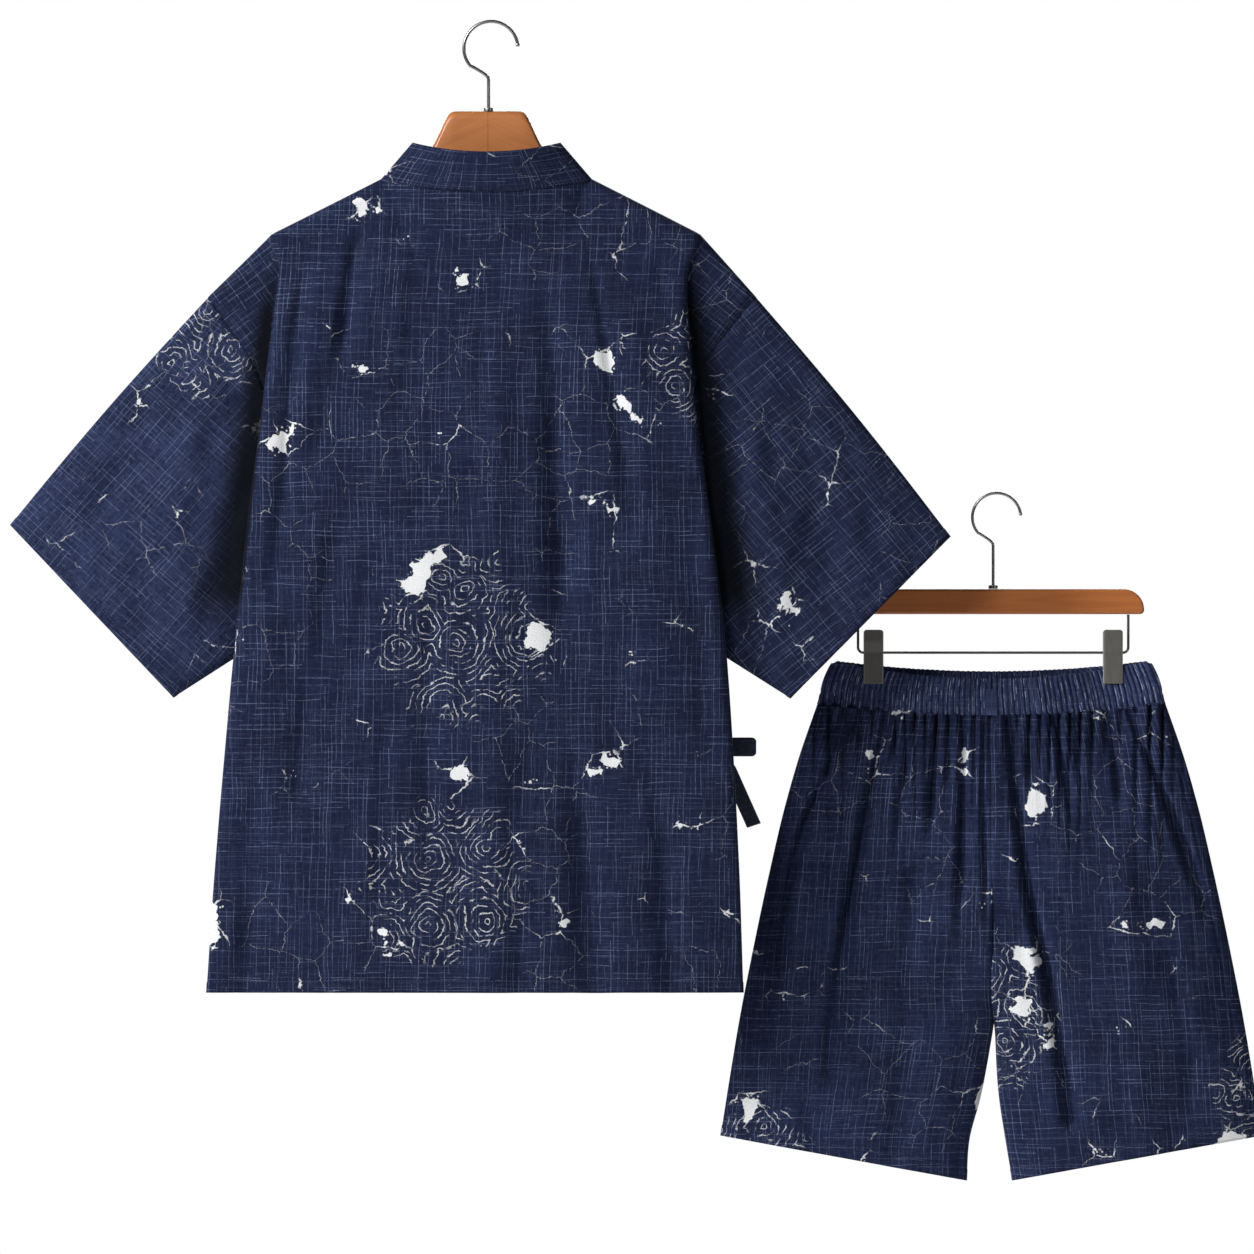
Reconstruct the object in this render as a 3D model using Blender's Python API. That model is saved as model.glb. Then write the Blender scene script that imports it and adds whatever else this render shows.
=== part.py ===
"""A jinbei, the short Japanese summer suit: jacket on a shaped hanger, shorts on a clip hanger.

Metres, +Z up. The origin is the point where the jacket hanger's hook bears on its rail.
The garment's back faces -Y, the wearer's right is at +X, and the shorts hang behind (+Y).
"""
import math

import bmesh
import bpy
import numpy as np
from mathutils import Matrix

# Cloth
WALL = 0.0012
GAP = 0.0003
EDGE = WALL / 2 + GAP

# Jacket: heights below the hook, half widths from its own centre line
NECK_HALF = 0.100
NECK_Z = -0.1488
NECK_SCOOP = 0.0106
NECK_DEPTH = 0.0225
SHOULDER_HALF = 0.203
SHOULDER_Z = -0.2010
HEM_Z = -0.9212
UNDERARM_Z = -0.5587
CAP_DROP = 0.0598
ARM_RIDGE_NECK = 0.0095
ARM_RIDGE_END = 0.0150
SLEEVE_RIDGE = 0.0065
SPREAD = 0.130
CLOSING_FROM = 0.70
ROUND_FROM = 0.80

# Centre line of the jacket: it swings a little to one side below the neck
SWAY = (  # z, x
    (-0.11, -0.0044), (-0.20, -0.0048), (-0.28, -0.0095), (-0.60, -0.0102), (-0.92, -0.0152),
)
# Side of the body, where the cloth folds under beside the sleeve
BODY_EDGE = (  # z, half width, depth of the fold, turn of the fold (1 is doubled under), half depth
    (-0.201, 0.2030, 0.004, 0.05, 0.0160),
    (-0.216, 0.1965, 0.006, 0.45, 0.0180),
    (-0.234, 0.1940, 0.011, 0.88, 0.0215),
    (-0.256, 0.1945, 0.017, 1.00, 0.0245),
    (-0.300, 0.1985, 0.023, 1.00, 0.0270),
    (-0.377, 0.2066, 0.030, 1.00, 0.0285),
    (-0.484, 0.2210, 0.040, 1.00, 0.0290),
    (-0.591, 0.2327, 0.045, 1.00, 0.0290),
    (-0.700, 0.2415, 0.030, 1.00, 0.0260),
    (-0.800, 0.2482, 0.012, 0.85, 0.0200),
    (-0.922, 0.2537, 0.003, 0.55, 0.0120),
)
ARMHOLE = (  # z, distance of the sleeve seam from the centre line
    (-0.2608, 0.2600), (-0.2946, 0.2351), (-0.3107, 0.2228), (-0.3582, 0.2010),
    (-0.4057, 0.1896), (-0.4532, 0.1845), (-0.5587, 0.1850),
)
MIDDLE_DEPTH = (  # z, half depth of the body at its centre line
    (-0.15, 0.0260), (-0.35, 0.0320), (-0.70, 0.0330), (-0.92, 0.0280),
)
BACK_FOLDS = (  # x at the top, x at the hem, half width, rise, z of the start, z of the end
    (-0.150, -0.130, 0.020, -0.0040, -0.190, -0.620),
    (-0.120, -0.095, 0.018, 0.0035, -0.180, -0.700),
    (-0.060, -0.075, 0.022, -0.0028, -0.260, -0.922),
    (0.010, 0.004, 0.024, 0.0032, -0.200, -0.922),
    (0.060, 0.068, 0.022, -0.0040, -0.210, -0.922),
    (0.118, 0.140, 0.020, 0.0030, -0.220, -0.922),
    (-0.150, -0.190, 0.020, 0.0030, -0.520, -0.922),
)
FRONT_FOLDS = (
    (0.135, 0.150, 0.020, -0.0035, -0.210, -0.922),
    (0.085, 0.100, 0.020, 0.0030, -0.230, -0.922),
    (0.020, 0.030, 0.022, -0.0028, -0.360, -0.922),
    (-0.050, -0.040, 0.020, 0.0025, -0.480, -0.922),
)
# Drops of the cloth's rows below the shoulder line; the underarm is one of them
UNDERARM_DROP = SHOULDER_Z - UNDERARM_Z
BODY_LENGTH = SHOULDER_Z - HEM_Z
ROW_DROPS = (
    0.0, 0.002, 0.007, 0.016, 0.030, 0.055, 0.095, 0.150, 0.215, 0.285, 0.335, 0.352,
    UNDERARM_DROP, 0.4834, 0.56, 0.64, BODY_LENGTH,
)
NECK_STEPS = 6
SHOULDER_STEPS = 4
TURN_STEPS = 4
RETURN_STEPS = 2
CREASE_STEPS = 3
CAP_STEPS = 2

# Fronts: the inner edge runs from the neck across the chest, then down to the hem
FRONT_EDGE = (  # z, distance from the centre line, towards the panel's own side
    (-0.1488, 0.1000), (-0.20, 0.0880), (-0.30, 0.0480), (-0.40, -0.0050), (-0.53, -0.0900),
    (-0.67, -0.1720), (-0.922, -0.1800),
)
OVER_LIFT = 0.0030
UNDER_LIFT = -0.0030
FRONT_STEPS = 12

# Sleeves: corners of the cuff from the centre of the shoulders
CUFFS = {  # side: top x, top z, low x, low z
    "right": (0.4405, -0.4884, 0.2894, -0.6413),
    "left": (0.4520, -0.4775, 0.2977, -0.6404),
}
SHOULDER_X = -0.0044
CUFF_DEPTH = 0.0130
SLEEVE_STEPS = 6

# Collar band
BAND_WALL = 0.0024
BAND_WIDTH = 0.045
BAND_END_Z = -0.680
BAND_SINK = 0.0022
BAND_TOP_SIDE = (0.0694, -0.1144)
BAND_TOP_BACK = (0.0275, -0.1224)

# Ties at the wearer's right side
TIE_WIDTH = 0.018
TIE_WALL = 0.0016
KNOT = (0.2200, 0.0420, -0.6880)
KNOT_HALF = (0.0070, 0.0055, 0.0085)
LOOP_TIP_X = 0.2515
LOOP_HALF_DEPTH = 0.0042

# Jacket hanger
WOOD_X = -0.0033
WOOD_STATIONS = (  # x from the middle, top, height, half thickness
    (0.0000, -0.0837, 0.060, 0.0080), (0.0330, -0.0837, 0.060, 0.0080),
    (0.0365, -0.0850, 0.058, 0.0080), (0.0390, -0.0900, 0.055, 0.0080),
    (0.0512, -0.1165, 0.040, 0.0080), (0.0700, -0.1340, 0.036, 0.0072),
    (0.1000, -0.1512, 0.034, 0.0066), (0.1300, -0.1660, 0.031, 0.0085),
    (0.1580, -0.1802, 0.026, 0.0110), (0.1800, -0.1914, 0.020, 0.0098),
    (0.1870, -0.1965, 0.012, 0.0055),
)
RING = 12
HOOK_WIRE = 0.0016
HOOK_RADIUS = 0.0257
STEM_X = -0.0023
FERRULE_RADIUS = 0.0045
FERRULE_HEIGHT = 0.0035

# Shorts
SHORTS_X = 0.4764
SHORTS_Y = 0.0760
LEG_OUTLINE = (  # z, half width, half depth
    (-0.6451, 0.1645, 0.0100), (-0.6620, 0.1705, 0.0135), (-0.6908, 0.1805, 0.0175),
    (-0.7478, 0.1970, 0.0205), (-0.8048, 0.2104, 0.0215), (-0.8903, 0.2285, 0.0220),
    (-0.9473, 0.2395, 0.0220), (-1.0043, 0.2490, 0.0215), (-1.0584, 0.2575, 0.0200),
)
INSEAM = (  # z, inner edge of the left leg, inner edge of the right leg
    (-0.9454, 0.0030, 0.0034), (-1.0233, -0.0115, 0.0080), (-1.0613, -0.0215, 0.0138),
    (-1.1011, -0.0243, 0.0204),
)
CROTCH_Z = -0.9454
CROTCH_RUN = 0.150
HEM_OUTER_Z = -1.0584
HEM_INNER_Z = -1.1011
SEAT_SEAM_NEAR = -0.6560
SEAT_SEAM_FAR = -0.6500
SEAT_SEAM_SIDE = -0.6455
LEG_DROPS = (0.0, 0.012, 0.030, 0.060, 0.110, 0.180, 0.2895, 0.350, 0.455)
LEG_COLUMNS = 60
GATHERS = 15
GATHER_RISE = 0.0032
GATHER_FADE = 0.060

# Waistband: drawn up on elastic, so it stands in fine upright ribs
WAIST_HALF = 0.1518
WAIST_TOP_SIDE = -0.6058
WAIST_TOP_NEAR = -0.6233
WAIST_TOP_FAR = -0.6162
WAIST_WALL = 0.0022
RIBS = 128
RIB_RISE = 0.0007
CLIP_X = 0.1140
PINCH = 0.0019
WAIST_PLAN = (  # distance from the middle, half depth
    (0.0000, 0.0150), (0.0400, 0.0128), (0.0800, 0.0065), (0.0980, PINCH), (0.1290, PINCH),
    (0.1400, 0.0040), (0.1480, 0.0036), (0.1508, 0.0026), (0.1518, 0.0000),
)

# Shorts hanger
BAR_X = 0.4780
BAR_TOP = -0.5378
BAR_HEIGHT = 0.0239
BAR_HALF = 0.1438
BAR_DEPTH = 0.0120
BAR_ROUND = 0.0210
BAR_FOOT_ROUND = 0.0040
BAR_BEVEL = 0.0020
BAR_CORNER_STEPS = 6
LEG_WIRE_X = 0.1287
LEG_WIRE_Z = -0.5983
LEG_WIRE = 0.00125
SMALL_HOOK_WIRE = 0.0014
SMALL_HOOK_RADIUS = 0.0231
SMALL_HOOK_CENTRE = (0.4813, -0.4694)
CLIP_HALF = 0.0092
CLIP_TOP = -0.5765
CLIP_FOOT = -0.6278
CLIP_WALL = 0.0014
BARREL_RADIUS = 0.0042


def material(name, colour, roughness, metallic=0.0):
    """A plain finish for one kind of piece."""
    finish = bpy.data.materials.new(name)
    finish.use_nodes = True
    shader = finish.node_tree.nodes["Principled BSDF"]
    shader.inputs["Base Color"].default_value = (*colour, 1.0)
    shader.inputs["Roughness"].default_value = roughness
    shader.inputs["Metallic"].default_value = metallic
    return finish


def look_up(table, z, column=1):
    """One column of a table at height z, smooth between its rows."""
    keys = np.array([row[0] for row in table])
    values = np.array([row[column] for row in table])
    if keys[0] > keys[-1]:
        keys = keys[::-1]
        values = values[::-1]
    slopes = np.gradient(values, keys)
    place = np.clip(np.asarray(z, dtype=float), keys[0], keys[-1])
    low = np.clip(np.searchsorted(keys, place, side="right") - 1, 0, len(keys) - 2)
    step = keys[low + 1] - keys[low]
    t = (place - keys[low]) / step
    lean_low = slopes[low] * step
    lean_high = slopes[low + 1] * step
    curve = (2 * t ** 3 - 3 * t ** 2 + 1) * values[low] + (t ** 3 - 2 * t ** 2 + t) * lean_low
    return curve + (3 * t ** 2 - 2 * t ** 3) * values[low + 1] + (t ** 3 - t ** 2) * lean_high


def ease(t):
    """A smooth rise from 0 to 1."""
    t = np.clip(t, 0.0, 1.0)
    return t * t * (3.0 - 2.0 * t)


def mix(low, high, t):
    return low + (high - low) * t


def finish_object(name, mesh, finish):
    """One named piece with its own finish, shaded smooth between its sharp edges."""
    mesh.materials.append(finish)
    mesh.shade_smooth()
    mesh.set_sharp_from_angle(angle=math.radians(40))
    piece = bpy.data.objects.new(name, mesh)
    bpy.context.scene.collection.objects.link(piece)
    return piece


def cloth(name, grid, finish, wall=WALL, ring=False):
    """A wall of cloth through a grid of points, rows first; a ring closes round each row."""
    rows, columns = grid.shape[:2]
    span = columns if ring else columns - 1
    faces = []
    for i in range(rows - 1):
        for j in range(span):
            k = (j + 1) % columns
            faces.append((i * columns + j, i * columns + k,
                          (i + 1) * columns + k, (i + 1) * columns + j))
    mesh = bpy.data.meshes.new(name)
    mesh.from_pydata(grid.reshape(-1, 3).tolist(), [], faces)
    piece = finish_object(name, mesh, finish)
    solid = piece.modifiers.new("wall", "SOLIDIFY")
    solid.thickness = wall
    solid.offset = 0.0
    return piece


def hang_depth(drop, ridge, full):
    """Depth of cloth that comes over a round ridge and opens out below it."""
    near = np.minimum(drop, ridge)
    over = np.sqrt(np.maximum(2 * ridge * near - near ** 2, 0.0))
    return over + (full - ridge) * ease((drop - 0.3 * ridge) / SPREAD)


def shoulder_z(out):
    """Height of the neck and shoulder line at a distance from the centre line."""
    out = np.abs(out)
    slope = (SHOULDER_Z - NECK_Z) / (SHOULDER_HALF - NECK_HALF)
    scoop = NECK_Z - NECK_SCOOP * (1 - np.minimum(out / NECK_HALF, 1) ** 2)
    return scoop + slope * np.maximum(out - NECK_HALF, 0.0)


def fold_relief(folds, out, z):
    """Rise of the soft upright folds at a place on the cloth."""
    rise = 0.0
    for top_x, hem_x, half, height, start, end in folds:
        along = np.clip((z - start) / (end - start), 0.0, 1.0)
        middle = mix(top_x, hem_x, along)
        fade = ease(along / 0.25) * (1.0 if end < HEM_Z + 0.01 else ease((1 - along) / 0.5))
        rise = rise + height * fade * np.exp(-((out - middle) / half) ** 2)
    return rise


def body_depth(out, z, drop, edge, lift, folds, signed):
    """Half depth of the body's cloth at a distance from the centre line."""
    across = np.clip(np.abs(out) / edge, 0.0, 1.0)
    ridge = mix(ARM_RIDGE_NECK, ARM_RIDGE_END,
                ease((np.abs(out) - NECK_HALF) / (SHOULDER_HALF - NECK_HALF)))
    side = look_up(BODY_EDGE, z, 4)
    full = mix(look_up(MIDDLE_DEPTH, z), side, across ** 2)
    depth = hang_depth(drop, ridge, full)
    return depth + (lift * (1 - across ** 4) + fold_relief(folds, signed, z)) * ease(drop / 0.08)


def side_curve(drop):
    """The fold beside the sleeve in one row: steps out, share of depth and of the way, end turn."""
    z = SHOULDER_Z - drop
    turn = math.pi * look_up(BODY_EDGE, z, 3)
    pleat = look_up(BODY_EDGE, z, 2)
    down = min(drop / UNDERARM_DROP, 1.0)
    closing = float(ease((down - CLOSING_FROM) / (1 - CLOSING_FROM)))
    last = 0.5 * math.pi * closing
    side = hang_depth(drop, ARM_RIDGE_END, look_up(BODY_EDGE, z, 4))
    room = max(float(side) - SLEEVE_RIDGE * (1 - closing), 0.004)
    first_length = max(turn * mix(0.34, 0.30, closing) * room, 0.003)
    last_length = max((turn - last) * mix(0.16, 0.40, closing) * room, 0.002)
    samples = 160
    way = np.linspace(0.0, first_length + pleat + last_length, samples)
    heading = np.interp(way, [0.0, first_length, first_length + pleat, way[-1]],
                        [0.0, turn, turn, last])
    step = way[1] - way[0]
    out = np.concatenate([[0.0], np.cumsum(np.cos(heading[1:]) * step)])
    sunk = np.concatenate([[0.0], np.cumsum(np.sin(heading[1:]) * step)])
    return way, out, sunk / sunk[-1], first_length, pleat, last_length


def half_rows(signed_side, lift, folds, inner):
    """Rows of one half of the body, from its inner edge round the side fold to the sleeve seam."""
    rows = []
    for drop in ROW_DROPS:
        z_side = SHOULDER_Z - drop
        share = drop / BODY_LENGTH
        down = min(drop / UNDERARM_DROP, 1.0)
        edge = float(look_up(BODY_EDGE, z_side, 1))
        way, out, sunk, first, pleat, last = side_curve(drop)
        start = edge - float(np.interp(first / 2, way, out))
        seam_z = z_side - CAP_DROP * (1 - down)
        seam_x = float(look_up(ARMHOLE, seam_z))
        closing = float(ease((down - CLOSING_FROM) / (1 - CLOSING_FROM)))
        cap = max(seam_x - start - out[-1], 0.0) * (1 - closing)

        main_out = inner(share, start)
        main_z = mix(shoulder_z(main_out), HEM_Z, share)
        main_drop = shoulder_z(main_out) - main_z
        main_depth = body_depth(main_out, main_z, main_drop, edge, lift, folds,
                                signed_side * main_out)
        if lift == 0.0:
            neck = np.clip(np.abs(main_out) / NECK_HALF, 0.0, 1.0)
            scoop = NECK_DEPTH * np.sqrt(1 - neck ** 2)
            fade = 1 - ease(main_drop / 0.10)
            main_depth = np.maximum(main_depth, scoop * fade + main_depth * (1 - fade))

        crease = min(last / (last + cap), CREASE_STEPS / (CREASE_STEPS + CAP_STEPS))
        tail = (last + cap) * np.concatenate([
            np.linspace(0.0, crease, CREASE_STEPS + 1)[1:],
            np.linspace(crease, 1.0, CAP_STEPS + 1)[1:]])
        stops = np.concatenate([
            np.linspace(0.0, first, TURN_STEPS + 1)[1:],
            first + np.linspace(0.0, pleat, RETURN_STEPS + 1)[1:],
            first + pleat + tail])
        folded = np.minimum(stops, way[-1])
        side_out = start + np.interp(folded, way, out) + (stops - folded)
        sink = np.interp(folded, way, sunk)
        round_end = math.sqrt(max(1 - max((down - ROUND_FROM) / (1 - ROUND_FROM), 0.0) ** 2, 0.0))
        seam_depth = float(hang_depth(drop, SLEEVE_RIDGE, SLEEVE_RIDGE)) * round_end
        side_depth = mix(main_depth[-1], seam_depth, sink)
        along = np.maximum(stops - first / 2, 0.0) / (stops[-1] - first / 2)
        side_z = z_side - CAP_DROP * (1 - down) * along

        row_out = np.concatenate([main_out, side_out])
        row_depth = np.maximum(np.concatenate([main_depth, side_depth]), GAP)
        row_z = np.concatenate([main_z, side_z])
        rows.append(np.stack([row_out, row_depth, row_z], axis=-1))
    return np.array(rows)


def place(points, side, facing):
    """Turn distances out, depths and heights into points in space."""
    x = look_up(SWAY, points[..., 2]) + side * points[..., 0]
    return np.stack([x, facing * points[..., 1], points[..., 2]], axis=-1)


def back_columns(share, start):
    """Columns of the back from the centre line to the side fold; the first lie under the collar."""
    neck = NECK_HALF * np.sin(np.linspace(0.0, math.pi / 2, NECK_STEPS + 1))
    rest = np.linspace(NECK_HALF, SHOULDER_HALF, SHOULDER_STEPS + 1)[1:]
    return np.concatenate([neck, rest]) / SHOULDER_HALF * start


def front_columns(share, start):
    """Columns of a front from its crossing edge to the side fold."""
    z = mix(NECK_Z, HEM_Z, share)
    return np.linspace(float(look_up(FRONT_EDGE, z)), start, FRONT_STEPS + 1)


def make_body(finish):
    """The back panel and the two fronts; returns the halves for the sleeves and collar."""
    right_back = half_rows(1, 0.0, BACK_FOLDS, back_columns)
    left_back = half_rows(-1, 0.0, BACK_FOLDS, back_columns)
    right = place(right_back, 1, -1)
    left = place(left_back, -1, -1)
    whole = np.concatenate([left[:, :0:-1], right], axis=1)
    cloth("jacket_back", whole, finish)
    over = half_rows(1, OVER_LIFT, FRONT_FOLDS, front_columns)
    under = half_rows(1, UNDER_LIFT, FRONT_FOLDS[:1], front_columns)
    front_left = place(over, -1, 1)
    front_right = place(under, 1, 1)
    cloth("jacket_front_left", front_left[:, ::-1], finish)
    cloth("jacket_front_right", front_right, finish)
    return left, right, front_left, front_right


def make_sleeve(name, side, back, front, finish):
    """A sleeve from the armhole seam to the cuff, folded flat along its top and under the arm."""
    top_x, top_z, low_x, low_z = CUFFS[name]
    last_row = ROW_DROPS.index(UNDERARM_DROP)
    seam_back = back[:last_row + 1, -1].copy()
    seam_front = front[:last_row + 1, -1].copy()
    closing = ease((np.array(ROW_DROPS[:last_row + 1]) / UNDERARM_DROP - CLOSING_FROM)
                   / (1 - CLOSING_FROM))
    for seam in (seam_back, seam_front):
        seam[:, 0] += side * (GAP + 0.0002 + WALL * closing)
        seam[0, 1] = 0.0
        seam[-1, 1] = 0.0
    loop = np.concatenate([seam_back, seam_front[-2:0:-1]])
    share = np.array(ROW_DROPS[:last_row + 1]) / UNDERARM_DROP
    angle = np.arccos(1 - 2 * share)
    around = np.concatenate([angle, 2 * math.pi - angle[-2:0:-1]])
    across = (1 - np.cos(around)) / 2
    cuff = np.stack([
        SHOULDER_X + side * mix(top_x, low_x, across),
        -CUFF_DEPTH * np.sin(around),
        mix(top_z, low_z, across)], axis=-1)
    rings = []
    for step in range(SLEEVE_STEPS + 1):
        way = step / SLEEVE_STEPS
        ring = mix(loop, cuff, way)
        bow = 0.0030 * math.sin(math.pi * way) * (1 - across)
        ring[:, 0] += side * bow * 0.7
        ring[:, 2] += bow * 0.7
        rings.append(ring)
    cloth("jacket_sleeve_" + name, np.array(rings), finish, ring=True)


def band_half(front, side, sink):
    """Seam edge and free edge of the collar band down one front, from the shoulder."""
    seam = []
    free = []
    count = sum(1 for drop in ROW_DROPS
                if mix(NECK_Z, HEM_Z, drop / BODY_LENGTH) > BAND_END_Z)
    for i in range(1, count):
        here = front[i, 0]
        ahead = front[i + 1, 0] - front[i - 1, 0]
        across = np.array([ahead[2], 0.0, -ahead[0]]) * side
        across = across / np.linalg.norm(across)
        blend = float(ease(ROW_DROPS[i] / 0.09))
        rise = np.array([BAND_TOP_SIDE[0] - NECK_HALF, 0.0, BAND_TOP_SIDE[1] - NECK_Z])
        rise = rise / np.linalg.norm(rise) * np.array([side, 1.0, 1.0])
        way = mix(rise, across, blend)
        way = way / np.linalg.norm(way)
        seam.append(here + way * (GAP + 0.0003))
        edge = here + way * BAND_WIDTH
        edge[1] -= sink * blend
        free.append(edge)
    return seam, free


def make_collar(back_left, back_right, front_left, front_right, finish):
    """The straight collar band, from one front over the shoulder and back neck to the other."""
    left_seam, left_free = band_half(front_left, -1, 0.0)
    right_seam, right_free = band_half(front_right, 1, BAND_SINK)
    seam = left_seam[::-1]
    free = left_free[::-1]
    for step in range(-NECK_STEPS, NECK_STEPS + 1):
        angle = math.pi / 2 * step / NECK_STEPS
        out = math.sin(angle)
        back = math.cos(angle)
        z = NECK_Z - NECK_SCOOP * (1 - out ** 2) + GAP + 0.0003
        centre = float(look_up(SWAY, z))
        seam.append(np.array([centre + NECK_HALF * out, -NECK_DEPTH * back, z]))
        free.append(np.array([
            centre + BAND_TOP_SIDE[0] * out, -BAND_TOP_BACK[0] * back,
            mix(BAND_TOP_SIDE[1], BAND_TOP_BACK[1], back ** 2)]))
    seam += right_seam
    free += right_free
    grid = np.stack([mix(np.array(seam), np.array(free), t) for t in (0.0, 0.5, 1.0)], axis=1)
    cloth("jacket_collar", grid, finish, wall=BAND_WALL)


def strip(name, path, finish, width=TIE_WIDTH, lean=(0.0, 0.0, 1.0), root=None):
    """A flat tie along a path, its width held in one direction; root narrows its first end."""
    points = np.array(path)
    widths = np.full((len(points), 1), width)
    widths[0] = width if root is None else root
    half = np.array(lean) * widths / 2
    cloth(name, np.stack([points - half, points + half], axis=0), finish, wall=TIE_WALL)


def tie_loop(name, side, reach, finish):
    """One loop of the bow: the tie leaves the knot, turns at its tip and comes back."""
    root = KNOT[0] + side * (KNOT_HALF[0] + GAP)
    length = reach - abs(root - KNOT[0])
    path = []
    steps = 14
    for k in range(steps + 1):
        angle = math.radians(12) + math.radians(336) * k / steps
        x = root + side * length * (1 - math.cos(angle)) / 2
        y = KNOT[1] + LOOP_HALF_DEPTH * math.sin(angle)
        path.append((x, y, KNOT[2]))
    strip(name, path, finish)


def make_ties(front_left, finish):
    """The outer ties, knotted in a bow beside the wearer's right hip."""
    bpy.ops.mesh.primitive_uv_sphere_add(segments=12, ring_count=8, radius=1.0)
    knot = bpy.context.object
    knot.name = "tie_knot"
    knot.data.name = "tie_knot"
    knot.data.transform(Matrix.Translation(KNOT) @ Matrix.Diagonal((*KNOT_HALF, 1.0)))
    knot.data.materials.append(finish)
    knot.data.shade_smooth()
    tie_loop("tie_loop_outer", 1, LOOP_TIP_X - KNOT[0], finish)
    tie_loop("tie_loop_inner", -1, 0.040, finish)
    under = KNOT[2] - KNOT_HALF[2] - 0.0003
    outer = [(KNOT[0] + 0.0005 + 0.0295 * t, KNOT[1] - 0.0028 - 0.002 * t, under - 0.066 * t)
             for t in np.linspace(0.0, 1.0, 6)]
    inner = [(KNOT[0] - 0.0005 - 0.0140 * t, KNOT[1] + 0.0028 + 0.002 * t, under - 0.086 * t)
             for t in np.linspace(0.0, 1.0, 6)]
    strip("tie_tail_outer", outer, finish, width=0.014, lean=(0.92, 0.20, 0.30), root=0.005)
    strip("tie_tail_inner", inner, finish, width=0.015, lean=(0.98, 0.10, -0.15), root=0.005)
    anchor = front_left[ROW_DROPS.index(0.4834), 0]
    behind = KNOT[1] - KNOT_HALF[1] - TIE_WALL / 2 - 0.0005
    start = anchor[1] + WALL / 2 + TIE_WALL / 2 + GAP
    front = [(mix(anchor[0], KNOT[0] + 0.002, t), mix(start, behind, t), KNOT[2])
             for t in np.linspace(0.0, 1.0, 5)]
    strip("tie_strap_front", front, finish, width=0.014)
    side = look_up(SWAY, KNOT[2]) + look_up(BODY_EDGE, KNOT[2]) + EDGE + TIE_WALL / 2
    wrap = [(KNOT[0] + 0.0026, behind, KNOT[2]), (side - 0.0020, behind - 0.0018, KNOT[2]),
            (side + 0.0004, behind - 0.0060, KNOT[2]), (side + 0.0004, behind - 0.0130, KNOT[2])]
    strip("tie_strap_side", wrap, finish, width=0.014)


def loft(name, rings, finish):
    """A closed solid through rings of points, capped at both ends."""
    mesh = bpy.data.meshes.new(name)
    shape = bmesh.new()
    loops = [[shape.verts.new(point) for point in ring] for ring in rings]
    for low, high in zip(loops, loops[1:]):
        for j in range(len(low)):
            k = (j + 1) % len(low)
            shape.faces.new((low[j], low[k], high[k], high[j]))
    shape.faces.new(loops[0][::-1])
    shape.faces.new(loops[-1])
    bmesh.ops.recalc_face_normals(shape, faces=shape.faces)
    shape.to_mesh(mesh)
    shape.free()
    return finish_object(name, mesh, finish)


def wire(name, points, radius, finish, sides=2):
    """A round wire along a line of points, closed at both ends."""
    line = bpy.data.curves.new(name, "CURVE")
    line.dimensions = "3D"
    line.bevel_depth = radius
    line.bevel_resolution = sides
    line.use_fill_caps = True
    spline = line.splines.new("POLY")
    spline.points.add(len(points) - 1)
    for dot, (x, y, z) in zip(spline.points, points):
        dot.co = (x, y, z, 1.0)
    line.materials.append(finish)
    piece = bpy.data.objects.new(name, line)
    bpy.context.scene.collection.objects.link(piece)
    return piece


def hook_path(centre_x, centre_z, radius, stem_x, bottom, y):
    """A hanger's hook: most of a circle, a short slope and an upright stem."""
    points = []
    for degree in range(8, 221, 12):
        angle = math.radians(degree)
        points.append((centre_x + radius * math.cos(angle), y, centre_z + radius * math.sin(angle)))
    low = points[-1]
    drop = centre_z - radius * 1.02
    for t in (0.35, 0.65, 0.86):
        points.append((mix(low[0], stem_x - 0.001, t), y, mix(low[2], drop, t ** 1.15)))
    points.append((stem_x, y, drop - 0.004))
    points.append((stem_x, y, mix(drop - 0.004, bottom, 0.5)))
    points.append((stem_x, y, bottom))
    return points


def ferrule(name, x, y, top, inner, finish):
    """The small collar round a hook's stem, standing on the wood."""
    turned = []
    for radius, z in ((inner, top), (FERRULE_RADIUS * 0.8, top),
                      (FERRULE_RADIUS, top - FERRULE_HEIGHT * 0.4),
                      (FERRULE_RADIUS, top - FERRULE_HEIGHT), (inner, top - FERRULE_HEIGHT)):
        turned.append([(x + radius * math.cos(a), y + radius * math.sin(a), z)
                       for a in np.linspace(0, 2 * math.pi, 16, endpoint=False)])
    mesh = bpy.data.meshes.new(name)
    points = [point for ring in turned for point in ring]
    faces = []
    rows = len(turned)
    for i in range(rows):
        for j in range(16):
            k = (j + 1) % 16
            n = (i + 1) % rows
            faces.append((i * 16 + j, n * 16 + j, n * 16 + k, i * 16 + k))
    mesh.from_pydata(points, [], faces)
    return finish_object(name, mesh, finish)


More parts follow.
